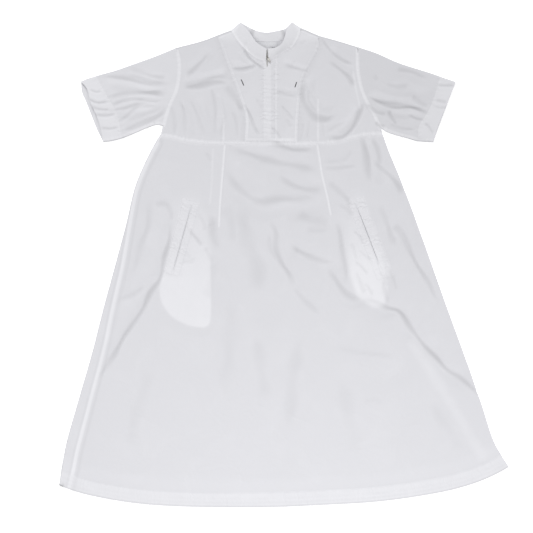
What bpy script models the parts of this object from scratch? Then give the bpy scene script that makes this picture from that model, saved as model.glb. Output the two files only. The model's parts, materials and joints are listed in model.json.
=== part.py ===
"""Half-zip dress, laid flat with its face up.

Every cloth piece is an open surface on the garment's outer face, thickened
inwards. The back lies on the surface below, and the front lies on the back.
Left and right are as seen from above. Sizes are in millimetres until a point
goes into a mesh.
"""

import math
from collections import namedtuple

import bmesh
import bpy
from mathutils import Vector

MM = 0.001
Fold = namedtuple("Fold", "path height reach")

# Cloth
WALL = 1.0              # wall of one ply as modelled
DOUBLE_WALL = 2.0       # wall of a turned hem or a doubled piece
COLLAR_WALL = 1.6       # wall of the doubled stand collar
SEAM = 0.3              # gap between two pieces at a seam or in a stack
EDGE_ROLL = 1.8         # radius of the outer face where the cloth turns over
ROLL_STEPS = 4          # spans round a turned edge
SEAM_TURN = 3.0         # the back reaches this far over the shoulders and short sides
CORNER_GAP = 1.2        # gap at the collar's two turned corners, where four pieces meet
FRONT_LEVEL = 2 * EDGE_ROLL     # outer face of the front above the surface below

# Skirt
HEM_DEPTH = 34.0        # turned hem
HEM_RISE = 2.0          # the doubled hem lifts the front this much
HEM_STEP = 1.5          # width of the step where the doubled hem starts
SIDE_FLAP = 28.0        # the back turns over the left edge this far
UNDER_FLAP = 34.0       # the front turns under the right edge this far
SKIRT_ROWS = 34
HEM_ROWS = 3            # rows of spans that are doubled cloth
SKIRT_SPANS = 30        # spans of the plan, side to side
SKIRT_COLUMNS = 31      # spans of the front's face
BACK_COLUMNS = 18
FLAP_SPANS = 2

# Spans along a seam, the same on the pieces it joins
NECK_SPANS = 9
BACK_NECK_SPANS = 14
ARMHOLE_SPANS = 11
UNDERARM_SPANS = 2
BIB_EDGE_SPANS = ARMHOLE_SPANS + UNDERARM_SPANS
SHOULDER_SPANS = 5
BIB_SHOULDER_SPANS = 2
WAIST_SIDE_SPANS = 9
MOUTH_SPANS = 2
SLEEVE_SPANS = 10       # armhole to hem line
SLEEVE_HEM_SPANS = 2
COLLAR_SPANS = 3        # seam to top edge
TAPE_SPANS = 2

# Centre front
ZIP_X = -36.9           # centre line of the zip
ZIP_BOTTOM = 284.0
ZIP_TOP = 495.0
NECK_SEAM_Y = 466.0     # where the collar seam meets the zip
MOUTH_HALF = 3.7        # half the gap between the collar's front ends
MOUTH_START = 452.0     # the bib edges part from here up
TAPE_HALF = 13.0        # width of one tape
TAPE_LEVEL = 3.4        # outer face of the tapes
TAPE_PARTING = 4.2      # the tapes part over this length below the slider's neck
TAPE_ABOVE = 4.5        # length of the straight stretch above the slider
TAPE_CLEAR = 1.2        # gap from the slider's neck to a tape there
TAPE_SHOWN = 0.6        # tape that shows inside a front end of the collar
TAPE_END = 0.5          # the tapes end this far below the collar's top edge
TAPE_RISE = 1.8         # rise of the tape ends with the collar
ZIP_RISE = 1.1          # the bib lies this much higher over the zip
ZIP_RISE_HALF = 46.0    # half width of that rise
ZIP_RISE_FADE = 24.0    # width of its slope

# Slider and pull
SLIDER_Y = 476.0
SLIDER_LENGTH = 9.0
SLIDER_WIDTH = 6.2
PLATE = 0.8
PLATE_CORNER = 0.3
LOWER_INSET = 0.3       # the lower plate is narrower by this on each side
JOIN = 0.4              # overlap of the slider's joined shapes
NECK_INSET = 0.1
CHANNEL = 1.6           # clear height between the slider's plates
NECK_WIDTH = 2.0
NECK_LENGTH = 2.3
BRIDGE_LENGTH = 4.0
BRIDGE_WIDTH = 0.9
BRIDGE_BAR = 0.8
BRIDGE_CLEAR = 2.6      # clear height under the bridge
PULL_BAR = 0.45         # radius of the pull's cross bar
PULL_WIDTH = 5.2
PULL_LENGTH = 14.0
PULL_EYE = 3.8          # length of the eye from the cross bar
PULL_THICK = 0.8
PULL_ARM = 0.8          # width of the metal beside the eye
PULL_HEAD = 0.6         # metal beyond the cross bar's axis
PULL_CORNER = 0.5
PULL_WAIST = 1.0        # the tab narrows from this far below the eye
PULL_END_WIDTH = 3.8
PULL_TIP_WIDTH = 2.0
PULL_TIP = 1.2          # length of the bevelled tip
EYE_TOP = 0.3           # the eye ends this far below the cross bar's axis
PULL_TURN = 30.0        # the pull hangs turned this far to the right
PULL_LIFT = 10.0        # the pull's free end is raised by this angle

# Pockets
SLIT_WIDTH = 2.4
CUT_HEIGHT = 12.0       # the slit cutters reach this far above the front
BAG_SPANS = 36
SLIT_MARGIN = 8.0       # facing beyond each end of the slit
BAG_FLOOR = WALL + SEAM         # lower face of a pocket bag
BAG_TOP = BAG_FLOOR + 2 * WALL + SEAM
BAG_RISE = BAG_TOP + SEAM + WALL - FRONT_LEVEL
BAG_FADE = 26.0         # width over which the front comes down beside a bag

# Materials: colour, roughness, metallic
COTTON = (0.86, 0.86, 0.88)
FINISH = {
    "cotton": (COTTON, 0.85, 0.0),
    "tape": ((0.80, 0.80, 0.82), 0.8, 0.0),
    "label": ((0.90, 0.90, 0.90), 0.7, 0.0),
    "metal": ((0.10, 0.10, 0.11), 0.35, 1.0),
}

# Outline as laid out, point by point from above
LEFT_SIDE = (
    (-281, 300), (-300, 274), (-318, 235), (-336, 180), (-359, 97), (-382, 14),
    (-412, -96), (-440, -206), (-472, -317), (-502, -427), (-514, -508),
)
RIGHT_SIDE = (
    (227, 303), (239, 263), (262, 208), (285, 152), (303, 97), (333, 14),
    (372, -96), (411, -206), (450, -317), (489, -427), (514, -464),
)
HEM = (
    (-514, -508), (-479, -520), (-412, -535), (-316, -549), (-233, -555), (-122, -557),
    (-12, -556), (98, -549), (209, -542), (319, -528), (402, -512), (457, -494), (492, -478),
    (514, -464),
)
WAIST_LEFT = ((-281, 300), (-249, 294), (-226, 288), (-191, 283), (-88, 281))
WAIST_BIB = ((-88, 281), (ZIP_X, 280), (32, 279))
WAIST_RIGHT = ((32, 279), (108, 283), (154, 293), (177, 299), (227, 303))
UNDERARM_LEFT = ((-281, 300), (-277, 318))
UNDERARM_RIGHT = ((227, 303), (224, 313))
ARMHOLE_LEFT = (
    (-277, 318), (-270, 343), (-260, 371), (-247, 401), (-241, 435), (-241, 465), (-247, 497),
)
ARMHOLE_RIGHT = ((224, 313), (211, 343), (195, 371), (181, 405), (173, 447), (172, 497))
SHOULDER_LEFT = ((-247, 497), (-178, 516), (-152, 526))
SHOULDER_RIGHT = ((82, 520), (126, 509), (172, 497))
BIB_SHOULDER_LEFT = ((-152, 526), (-120, 538))
BIB_SHOULDER_RIGHT = ((41, 539), (82, 520))
BIB_EDGE_LEFT = ((-88, 281), (-88, 348), (-99, 382), (-116, 428), (-132, 470), (-152, 526))
BIB_EDGE_RIGHT = ((32, 279), (34, 332), (39, 389), (45, 424), (64, 465), (80, 497), (82, 520))
NECK_CORNERS = ((-120, 538), (41, 539))
NECK_BACK = ((-120, 538), (-99, 523), (-72, 515), (-37, 512), (-5, 515), (20, 525), (41, 539))
NECK_LEFT = ((-120, 538), (-109, 520), (-93, 500), (-76, 484), (-58, 472),
             (ZIP_X - MOUTH_HALF, NECK_SEAM_Y))
NECK_RIGHT = ((ZIP_X + MOUTH_HALF, NECK_SEAM_Y), (-8, 484), (8, 492), (20, 500),
              (31, 515), (41, 539))

# Stand collar: top edge of each stretch, with its height above the surface
COLLAR_TOP_LEFT = (
    (-99, 556, 5.0), (-86, 543, 8.0), (-74, 527, 10.0), (-63, 511, 10.5), (-50, 501, 9.5),
    (ZIP_X - MOUTH_HALF, ZIP_TOP, 8.0),
)
COLLAR_TOP_RIGHT = (
    (ZIP_X + MOUTH_HALF, ZIP_TOP, 8.0), (-19, 497, 9.5), (-5, 505, 10.5), (3, 520, 10.5),
    (8, 540, 8.0), (20, 557, 5.0),
)
COLLAR_TOP_BACK = (
    (-99, 556, 0.0), (-83, 547, 2.0), (-63, 537, 4.5), (-40, 532, 6.0), (-14, 536, 5.0),
    (4, 541, 2.5), (20, 557, 0.0),
)

# Sleeves: silhouette, front cuff edge and the inner line of the turned hem
SLEEVE_LEFT = {
    "top": ((-431, 432), (-398, 442), (-343, 458), (-288, 479), (-247, 497)),
    "top_hem": ((-465, 419), (-454, 426), (-431, 432)),
    "under": ((-373, 289), (-343, 300), (-313, 313), (-288, 320), (-277, 318)),
    "under_hem": ((-410, 283), (-398, 283), (-373, 289)),
    "cuff_front": ((-465, 419), (-454, 408), (-441, 369), (-427, 339), (-418, 313), (-410, 283)),
    "cuff_back": ((-465, 419), (-437, 350), (-410, 283)),
    "hem_line": ((-431, 432), (-405, 385), (-382, 343), (-375, 309), (-373, 289)),
}
SLEEVE_RIGHT = {
    "top": ((172, 497), (209, 486), (264, 461), (319, 442), (361, 428)),
    "top_hem": ((361, 428), (393, 417)),
    "under": ((224, 313), (236, 305), (264, 295), (290, 288), (309, 283)),
    "under_hem": ((309, 283), (342, 281)),
    "cuff_front": ((393, 417), (372, 362), (355, 320), (342, 281)),
    "cuff_back": ((393, 417), (375, 364), (359, 320), (342, 281)),
    "hem_line": ((361, 428), (347, 382), (333, 350), (312, 316), (309, 283)),
}
CUFF_OPENING = 2.0      # lift of the front cuff edge at its middle
CUFF_START = 0.55       # that lift starts at this share of the sleeve
SLEEVE_HEM_START = 0.6  # the rise to the doubled hem starts here
SLEEVE_HEM_FADE = 0.2
SLEEVE_EDGE_FADE = 0.2  # folds fade out over this share beside an edge

# Labels inside the back neck: left, right, low and high side
LABEL = (-60, -14, 499.3, 511)
SIZE_TAG = (-47, -26, 491, 499)

# Pockets: slit ends top and bottom, facing width on each side, and bag outline
POCKETS = {
    "left": {
        "slit": ((-210, 139), (-254, -18)),
        "facing": (23.0, 18.0),
        "bag": (
            (-244, 154), (-184, 154), (-172, 90), (-166, 20), (-166, -148), (-214, -144),
            (-256, -124), (-281, -92), (-291, -55), (-287, 5), (-266, 80),
        ),
    },
    "right": {
        "slit": ((165, 141), (220, -2)),
        "facing": (18.0, 24.0),
        "bag": (
            (136, 156), (198, 156), (228, 90), (257, 5), (255, -70), (230, -104),
            (188, -111), (154, -86), (140, -20), (134, 70),
        ),
    },
}

# Largest folds of each area: path, height above the cloth, half width
FOLD_TAPER = 0.25       # share of a path over which a fold rises and falls
SKIRT_FOLDS = (
    Fold(((20, 40), (66, 17), (108, -20), (142, -64), (177, -86), (211, -96)), 4.0, 34),
    Fold(((196, -118), (257, -122), (292, -160), (338, -212), (384, -258), (440, -296)), 6.0, 40),
    Fold(((338, -202), (365, -214), (410, -248)), 3.5, 32),
    Fold(((-292, 112), (-296, 56), (-302, -2), (-316, -46), (-350, -117), (-392, -196)), 5.0, 34),
    Fold(((-122, 258), (-49, 236), (16, 214), (85, 202)), 3.5, 34),
    Fold(((-40, 270), (20, 262), (72, 252)), 2.5, 26),
    Fold(((-127, 205), (-99, 168), (-49, 136), (40, 138), (104, 142)), 4.0, 36),
    Fold(((-6, 192), (48, 182), (92, 176)), 2.5, 28),
    Fold(((-30, 90), (-17, 44), (-18, 10), (4, -22), (24, -60)), 3.5, 32),
    Fold(((196, 285), (206, 228), (224, 184)), 3.5, 28),
    Fold(((224, 222), (262, 168), (286, 115), (306, 50)), 4.0, 32),
    Fold(((100, 110), (112, 56), (122, -20)), 3.0, 30),
    Fold(((-74, 40), (-62, -40), (-40, -150)), 2.5, 44),
    Fold(((36, -150), (8, -300), (-18, -480)), 2.5, 52),
    Fold(((-190, -190), (-206, -300), (-220, -420)), 2.0, 50),
    Fold(((230, -220), (252, -320), (262, -420)), 2.0, 50),
)
BODICE_FOLDS = (
    Fold(((-232, 424), (-180, 436), (-134, 438)), 4.0, 20),
    Fold(((-226, 440), (-200, 468), (-170, 492)), 2.5, 18),
    Fold(((-236, 372), (-222, 330), (-204, 296)), 2.5, 16),
    Fold(((-196, 380), (-180, 335), (-168, 294)), 3.0, 16),
    Fold(((-150, 400), (-140, 345), (-140, 296)), 3.0, 16),
    Fold(((-116, 395), (-108, 340), (-106, 296)), 2.5, 12),
    Fold(((62, 418), (66, 372), (84, 346), (116, 336)), 4.5, 18),
    Fold(((104, 470), (138, 436), (162, 412)), 3.0, 18),
    Fold(((100, 500), (124, 474), (160, 446)), 2.5, 16),
    Fold(((168, 366), (156, 336), (142, 312), (110, 300)), 4.0, 18),
)
BIB_FOLDS = (
    Fold(((-122, 458), (-90, 462), (-66, 466)), 2.5, 14),
    Fold(((-84, 366), (-70, 335), (-56, 300)), 1.5, 12),
    Fold(((-2, 440), (24, 442), (44, 436)), 2.5, 14),
    Fold(((0, 376), (16, 366), (30, 360)), 1.5, 12),
)
LEFT_SLEEVE_FOLDS = (
    Fold(((-408, 424), (-353, 410), (-262, 399)), 4.0, 20),
    Fold(((-353, 452), (-307, 444), (-268, 432)), 2.5, 16),
    Fold(((-412, 360), (-340, 383), (-270, 382)), 3.5, 18),
    Fold(((-398, 330), (-350, 345), (-306, 366)), 3.0, 18),
    Fold(((-384, 306), (-330, 318), (-286, 346)), 2.5, 16),
)
RIGHT_SLEEVE_FOLDS = (
    Fold(((204, 398), (257, 382), (315, 372), (350, 362)), 5.0, 20),
    Fold(((212, 430), (270, 424), (340, 398)), 2.0, 24),
    Fold(((236, 345), (262, 324), (300, 316)), 3.0, 18),
    Fold(((262, 350), (300, 342), (336, 326)), 2.5, 16),
)


def smooth(points, steps=10):
    """Dense line on a curve that passes smoothly through the points."""
    points = [Vector(point) for point in points]
    if len(points) == 2:
        return points
    gaps = [(b - a).length for a, b in zip(points, points[1:])]
    slopes = [(b - a) / gap for a, b, gap in zip(points, points[1:], gaps)]
    tangents = [slopes[0]]
    for before, after, gap_before, gap_after in zip(slopes, slopes[1:], gaps, gaps[1:]):
        total = gap_before + gap_after
        tangents.append(before * (gap_after / total) + after * (gap_before / total))
    tangents.append(slopes[-1])
    line = [points[0]]
    for i, gap in enumerate(gaps):
        for step in range(1, steps + 1):
            t = step / steps
            line.append(
                points[i] * (2 * t ** 3 - 3 * t ** 2 + 1)
                + tangents[i] * gap * (t ** 3 - 2 * t ** 2 + t)
                + points[i + 1] * (3 * t ** 2 - 2 * t ** 3)
                + tangents[i + 1] * gap * (t ** 3 - t ** 2)
            )
    return line


def at_lengths(line, lengths):
    """Points of a line at the given lengths from its start."""
    found = []
    for target in lengths:
        walked = 0.0
        for a, b in zip(line, line[1:]):
            step = (b - a).length
            if walked + step >= target - 1e-6:
                break
            walked += step
        found.append(a.lerp(b, min((target - walked) / step, 1.0)))
    return found


def length_of(line):
    return sum((b - a).length for a, b in zip(line, line[1:]))


def spans(points, count):
    """Points that divide a smooth curve into equal spans."""
    line = smooth(points)
    total = length_of(line)
    return at_lengths(line, [total * i / count for i in range(count + 1)])


def chain(*stretches):
    """One edge from stretches that follow each other."""
    edge = list(stretches[0])
    for stretch in stretches[1:]:
        edge.extend(stretch[1:])
    return edge


def fractions(edge):
    total = length_of(edge)
    walked = [0.0]
    for a, b in zip(edge, edge[1:]):
        walked.append(walked[-1] + (b - a).length / total)
    return walked


def patch(bottom, top, left, right):
    """Rows of plan points between four edges, from the bottom edge to the top."""
    across = [(a + b) / 2 for a, b in zip(fractions(bottom), fractions(top))]
    upward = [(a + b) / 2 for a, b in zip(fractions(left), fractions(right))]
    rows = []
    for j, v in enumerate(upward):
        row = []
        for i, u in enumerate(across):
            ruled = bottom[i] * (1 - v) + top[i] * v + left[j] * (1 - u) + right[j] * u
            corners = (
                bottom[0] * (1 - u) * (1 - v) + bottom[-1] * u * (1 - v)
                + top[0] * (1 - u) * v + top[-1] * u * v
            )
            row.append(ruled - corners)
        rows.append(row)
    return rows


def draw_in(rows, bottom=0.0, top=0.0, left=0.0, right=0.0):
    """Move the four edges of a patch inwards along its rows and columns."""
    def toward(point, neighbour, distance):
        return point + (neighbour - point).normalized() * distance

    inner = [list(row) for row in rows]
    for i in range(len(rows[0])):
        inner[0][i] = toward(rows[0][i], rows[1][i], bottom)
        inner[-1][i] = toward(rows[-1][i], rows[-2][i], top)
    for row in inner:
        row[0] = toward(row[0], row[1], left)
        row[-1] = toward(row[-1], row[-2], right)
    return inner


def normals(edge):
    """Unit normals on the left side of an edge, one for each point."""
    last = len(edge) - 1
    found = []
    for i in range(last + 1):
        run = edge[min(i + 1, last)] - edge[max(i - 1, 0)]
        found.append(Vector((-run.y, run.x)).normalized())
    return found


def set_back(row, indices, distance):
    """Move some points of a row to its right side, square to their own stretch."""
    stretch = [row[i] for i in indices]
    for i, normal in zip(indices, normals(stretch)):
        row[i] = row[i] - normal * distance


def ease(value):
    """0 to 1 with a soft start and end."""
    value = min(max(value, 0.0), 1.0)
    return value * value * (3 - 2 * value)


def nearest_on(path, x, y):
    """Distance to a path, and how far along it the nearest point lies."""
    here = Vector((x, y))
    best = None
    walked = 0.0
    for a, b in zip(path, path[1:]):
        run = b - a
        t = min(max((here - a).dot(run) / run.length_squared, 0.0), 1.0)
        distance = (a + run * t - here).length
        if best is None or distance < best[0]:
            best = (distance, walked + run.length * t)
        walked += run.length
    return best[0], best[1] / walked


def fold_table(rows):
    return [fold._replace(path=[Vector(point) for point in fold.path]) for fold in rows]


def fold_height(folds, x, y):
    """Height that the folds of a table add at a point."""
    total = 0.0
    for fold in folds:
        distance, along = nearest_on(fold.path, x, y)
        if distance < fold.reach:
            profile = math.cos(math.pi / 2 * distance / fold.reach) ** 2
            taper = ease(min(along, 1 - along) / FOLD_TAPER + FOLD_TAPER)
            total = max(total, fold.height * profile * taper)
    return total


def inside(outline, x, y):
    crossed = False
    for a, b in zip(outline, outline[1:] + outline[:1]):
        if (a.y > y) != (b.y > y) and x < a.x + (b.x - a.x) * (y - a.y) / (b.y - a.y):
            crossed = not crossed
    return crossed


FOLDS = {
    "skirt": fold_table(SKIRT_FOLDS),
    "bodice": fold_table(BODICE_FOLDS),
    "bib": fold_table(BIB_FOLDS),
    "left_sleeve": fold_table(LEFT_SLEEVE_FOLDS),
    "right_sleeve": fold_table(RIGHT_SLEEVE_FOLDS),
}
BAG_OUTLINES = [[Vector(point) for point in pocket["bag"]] for pocket in POCKETS.values()]
HEM_LINE = smooth(HEM)


def bag_rise(x, y):
    """Lift of the front over a pocket bag, fading out around it."""
    rise = 0.0
    for outline in BAG_OUTLINES:
        if inside(outline, x, y):
            return BAG_RISE
        distance, _ = nearest_on(outline + outline[:1], x, y)
        rise = max(rise, BAG_RISE * ease(2 - distance / BAG_FADE))
    return rise


def hem_rise(x, y):
    distance, _ = nearest_on(HEM_LINE, x, y)
    return HEM_RISE * ease(2 - distance / HEM_DEPTH)


def skirt_height(x, y):
    folds = fold_height(FOLDS["skirt"], x, y)
    return FRONT_LEVEL + bag_rise(x, y) + hem_rise(x, y) + folds


def bodice_height(x, y):
    return FRONT_LEVEL + fold_height(FOLDS["bodice"], x, y)


def bib_level(x):
    """Outer face of the doubled bib, highest over the zip."""
    centre = ease((ZIP_RISE_HALF - abs(x - ZIP_X)) / ZIP_RISE_FADE)
    return FRONT_LEVEL + DOUBLE_WALL - WALL + ZIP_RISE * centre


def bib_height(x, y):
    return bib_level(x) + fold_height(FOLDS["bib"], x, y)


def raised(rows, height):
    """Plan rows given their heights."""
    return [[Vector((p.x, p.y, height(p.x, p.y))) for p in row] for row in rows]


def turn(start, outward, low, high, upward):
    """Points round a turned edge, between the first and last face."""
    radius = (high - low) / 2
    points = []
    for step in range(1, ROLL_STEPS):
        angle = math.pi * step / ROLL_STEPS
        rise = -math.cos(angle) if upward else math.cos(angle)
        place = start + outward * radius * math.sin(angle)
        points.append(Vector((place.x, place.y, low + radius * (1 + rise))))
    return points


def turned_up(start, outward):
    """Points from the underside over an edge to a narrow turn on the front."""
    points = turn(start, outward, 0.0, FRONT_LEVEL, upward=True)
    ends = (start, start - outward * SEAM_TURN)
    return points + [Vector((p.x, p.y, FRONT_LEVEL)) for p in ends]


def material(name):
    found = bpy.data.materials.get(name)
    if found:
        return found
    colour, roughness, metallic = FINISH[name]
    made = bpy.data.materials.new(name)
    made.use_nodes = True
    shader = made.node_tree.nodes["Principled BSDF"]
    shader.inputs["Base Color"].default_value = (*colour, 1.0)
    shader.inputs["Roughness"].default_value = roughness
    shader.inputs["Metallic"].default_value = metallic
    return made


def add_object(name, bm, finish):
    mesh = bpy.data.meshes.new(name)
    bm.to_mesh(mesh)
    bm.free()
    mesh.materials.append(material(finish))
    thing = bpy.data.objects.new(name, mesh)
    dress.objects.link(thing)
    return thing


def thicken(thing, wall, doubled=None, factor=1.0):
    """Wall on the inner side of an outer face; a vertex group marks doubled cloth."""
    solidify = thing.modifiers.new("wall", "SOLIDIFY")
    solidify.thickness = wall * MM
    solidify.offset = -1.0
    solidify.use_even_offset = True
    solidify.use_rim = True
    if doubled:
        group = thing.vertex_groups.new(name="doubled")
        group.add(doubled, 1.0, "REPLACE")
        solidify.vertex_group = group.name
        solidify.thickness_vertex_group = factor
    thing.data.shade_smooth()
    thing.data.set_sharp_from_angle(angle=math.radians(50))


def cloth(name, rows, face_up=True, wall=WALL, is_double=None, is_hole=None, closed=False,
          finish="cotton"):
    """A piece of cloth from rows of points on its outer face."""
    columns = len(rows[0]) - 1
    count = len(rows) - 1
    bm = bmesh.new()
    bmesh.ops.create_grid(bm, x_segments=columns, y_segments=count, size=1.0)
    grid = {}
    for vert in bm.verts:
        i = round((vert.co.x + 1) / 2 * columns)
        j = round((vert.co.y + 1) / 2 * count)
        grid[vert] = (i, j)
    if is_hole:
        holes = []
        for face in bm.faces:
            i = min(grid[vert][0] for vert in face.verts)
            j = min(grid[vert][1] for vert in face.verts)
            if is_hole(i, j):
                holes.append(face)
        bmesh.ops.delete(bm, geom=holes, context="FACES")
    for vert in bm.verts:
        i, j = grid[vert]
        vert.co = rows[j][i] * MM
    if closed:
        ends = [vert for vert in bm.verts if grid[vert][0] in (0, columns)]
        bmesh.ops.remove_doubles(bm, verts=ends, dist=0.00001)
    if not face_up:
        bmesh.ops.reverse_faces(bm, faces=bm.faces)
    bm.verts.ensure_lookup_table()
    bm.verts.index_update()
    doubled = None
    if is_double:
        doubled = [vert.index for vert in bm.verts if vert in grid and is_double(*grid[vert])]
    piece = add_object(name, bm, finish)
    if doubled:
        thicken(piece, DOUBLE_WALL, doubled, wall / DOUBLE_WALL)
    else:
        thicken(piece, wall)
    return piece


def waist_line():
    return chain(smooth(WAIST_LEFT), smooth(WAIST_BIB), smooth(WAIST_RIGHT))


def skirt_rows():
    """Plan rows of the whole skirt, hem to waist."""
    depth = HEM_DEPTH / length_of(smooth(RIGHT_SIDE))
    step = HEM_STEP / length_of(smooth(RIGHT_SIDE))
    shares = [0.0, depth / 2, depth, depth + step]
    body = SKIRT_ROWS - HEM_ROWS
    shares += [depth + step + (1 - depth - step) * j / body for j in range(1, body + 1)]

    def side(points):
        line = smooth(points[::-1])
        return at_lengths(line, [length_of(line) * share for share in shares])

    line = waist_line()
    waist = stretch_of(line, 0.0, length_of(line), SKIRT_SPANS)
    plan = patch(spans(HEM, SKIRT_SPANS), waist, side(LEFT_SIDE), side(RIGHT_SIDE))
    return draw_in(plan, top=SEAM / 2, left=EDGE_ROLL, right=EDGE_ROLL)


def stretch_of(row, start, end, count):
    """Even spans of a row between two lengths from its left end."""
    return at_lengths(row, [start + (end - start) * i / count for i in range(count + 1)])


def make_skirt():
    """Back that turns over the left edge, and front that turns under the right edge."""
    front = []
    back = []
    for row in skirt_rows():
        total = length_of(row)
        outward = (row[-1] - row[-2]).normalized()
        top = raised([stretch_of(row, SIDE_FLAP + SEAM, total, SKIRT_COLUMNS)], skirt_height)[0]
        edge = row[-1]
        under = stretch_of(row, total, total - UNDER_FLAP, FLAP_SPANS)
        top += turn(edge, outward, 0.0, top[-1].z, upward=False)
        top += [Vector((p.x, p.y, 0.0)) for p in under]
        front.append(top)

        outward = (row[0] - row[1]).normalized()
        flap = raised([stretch_of(row, SIDE_FLAP, 0.0, FLAP_SPANS)], skirt_height)[0]
        flat = stretch_of(row, 0.0, total - UNDER_FLAP - SEAM, BACK_COLUMNS)
        flap += turn(row[0], outward, 0.0, flap[-1].z, upward=False)
        back.append(flap + [Vector((p.x, p.y, 0.0)) for p in flat])

    def in_hem(i, j):
        return j < HEM_ROWS

    skirt_front = cloth("skirt_front", front, is_double=in_hem)
    cloth("skirt_back", back, face_up=False, is_double=in_hem)
    return skirt_front


def make_bodice_back():
    """Back bodice, turned up over the shoulders and the short sides."""
    left = chain(spans(UNDERARM_LEFT, UNDERARM_SPANS), spans(ARMHOLE_LEFT, ARMHOLE_SPANS))
    right = chain(spans(UNDERARM_RIGHT, UNDERARM_SPANS), spans(ARMHOLE_RIGHT, ARMHOLE_SPANS))
    top = chain(
        spans(SHOULDER_LEFT, SHOULDER_SPANS), spans(BIB_SHOULDER_LEFT, BIB_SHOULDER_SPANS),
        spans(NECK_BACK, BACK_NECK_SPANS),
        spans(BIB_SHOULDER_RIGHT, BIB_SHOULDER_SPANS), spans(SHOULDER_RIGHT, SHOULDER_SPANS),
    )
    line = waist_line()
    bottom = at_lengths(line, [length_of(line) * share for share in fractions(top)])
    plan = patch(bottom, top, left, right)

    shoulder_end = SHOULDER_SPANS + BIB_SHOULDER_SPANS
    neck_end = shoulder_end + BACK_NECK_SPANS
    last = len(top) - 1
    plan = draw_in(plan, bottom=SEAM)
    for j in range(len(plan)):
        inset = EDGE_ROLL if j <= UNDERARM_SPANS else SEAM / 2
        plan[j] = (
            [plan[j][0] + (plan[j][1] - plan[j][0]).normalized() * inset]
            + plan[j][1:-1]
            + [plan[j][-1] + (plan[j][-2] - plan[j][-1]).normalized() * inset]
        )
    outward = (
        normals(top[:shoulder_end + 1])
        + normals(top[shoulder_end:neck_end + 1])[1:-1]
        + normals(top[neck_end:])
    )
    for i, normal in enumerate(outward):
        inset = SEAM / 2 if shoulder_end < i < neck_end else EDGE_ROLL
        plan[-1][i] = plan[-1][i] - normal * inset

    rows = [[Vector((p.x, p.y, 0.0)) for p in row] for row in plan]
    over = zip(*[turned_up(p, normal) for p, normal in zip(plan[-1], outward)])
    rows += [list(row) for row in over]
    for j, row in enumerate(rows):
        flat = plan[min(j, len(plan) - 1)]
        west = turned_up(flat[0], (flat[0] - flat[1]).normalized())
        east = turned_up(flat[-1], (flat[-1] - flat[-2]).normalized())
        rows[j] = west[::-1] + row + east

    def no_cloth(i, j):
        column = i - ROLL_STEPS - 1
        beside = column < 0 or column >= last
        above_side = j >= UNDERARM_SPANS
        above_top = j >= len(left) - 1
        in_neck = shoulder_end <= column < neck_end
        return (beside and above_side) or (above_top and in_neck)

    cloth("bodice_back", rows, face_up=False, is_hole=no_cloth)


def make_front_side(side, waist, underarm, armhole, shoulder, bib_edge):
    """Front bodice between the armhole and the bib."""
    armhole_edge = chain(spans(underarm, UNDERARM_SPANS), spans(armhole, ARMHOLE_SPANS))
    bib_side = spans(bib_edge, BIB_EDGE_SPANS)
    waist_edge = spans(waist, WAIST_SIDE_SPANS)
    shoulder_edge = spans(shoulder, SHOULDER_SPANS)
    shoulder_edge = at_lengths(
        shoulder_edge, [length_of(shoulder_edge) * f for f in fractions(waist_edge)]
    )
    edges = (armhole_edge, bib_side) if side == "left" else (bib_side, armhole_edge)
    plan = patch(waist_edge, shoulder_edge, *edges)
    gap = SEAM / 2
    plan = draw_in(plan, bottom=gap, left=gap, right=gap)
    set_back(plan[-1], range(len(plan[-1])), EDGE_ROLL + SEAM_TURN + SEAM)
    outer = 0 if side == "left" else -1
    inner = 1 if side == "left" else -2
    for row in plan[:UNDERARM_SPANS + 1]:
        inward = (row[inner] - row[outer]).normalized()
        row[outer] = row[outer] + inward * (EDGE_ROLL + SEAM_TURN + gap)
    cloth("side_front_" + side, raised(plan, bodice_height))


def make_bib(side):
    """Doubled centre front piece on one side of the zip."""
    sign = -1 if side == "left" else 1
    mouth = (
        Vector((ZIP_X + sign * SEAM / 2, WAIST_BIB[1][1])),
        Vector((ZIP_X + sign * SEAM / 2, MOUTH_START)),
        Vector((ZIP_X + sign * MOUTH_HALF, NECK_SEAM_Y)),
    )
    zip_edge = chain(
        spans(mouth[:2], BIB_EDGE_SPANS - MOUTH_SPANS), spans(mouth[1:], MOUTH_SPANS)
    )
    columns = NECK_SPANS + BIB_SHOULDER_SPANS
    if side == "left":
        waist = spans(WAIST_BIB[:2], columns)
        waist[-1] = mouth[0]
        top = chain(spans(BIB_SHOULDER_LEFT, BIB_SHOULDER_SPANS), spans(NECK_LEFT, NECK_SPANS))
        plan = patch(waist, top, spans(BIB_EDGE_LEFT, BIB_EDGE_SPANS), zip_edge)
        plan = draw_in(plan, bottom=SEAM / 2, left=SEAM / 2)
        shoulder = range(0, BIB_SHOULDER_SPANS + 1)
        neck = range(BIB_SHOULDER_SPANS + 1, columns + 1)
    else:
        waist = spans(WAIST_BIB[1:], columns)
        waist[0] = mouth[0]
        top = chain(spans(NECK_RIGHT, NECK_SPANS), spans(BIB_SHOULDER_RIGHT, BIB_SHOULDER_SPANS))
        plan = patch(waist, top, zip_edge, spans(BIB_EDGE_RIGHT, BIB_EDGE_SPANS))
        plan = draw_in(plan, bottom=SEAM / 2, right=SEAM / 2)
        shoulder = range(NECK_SPANS, columns + 1)
        neck = range(0, NECK_SPANS)
    set_back(plan[-1], shoulder, EDGE_ROLL + SEAM_TURN + SEAM)
    set_back(plan[-1], neck, SEAM / 2)
    cloth("bib_" + side, raised(plan, bib_height), wall=DOUBLE_WALL)


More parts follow.
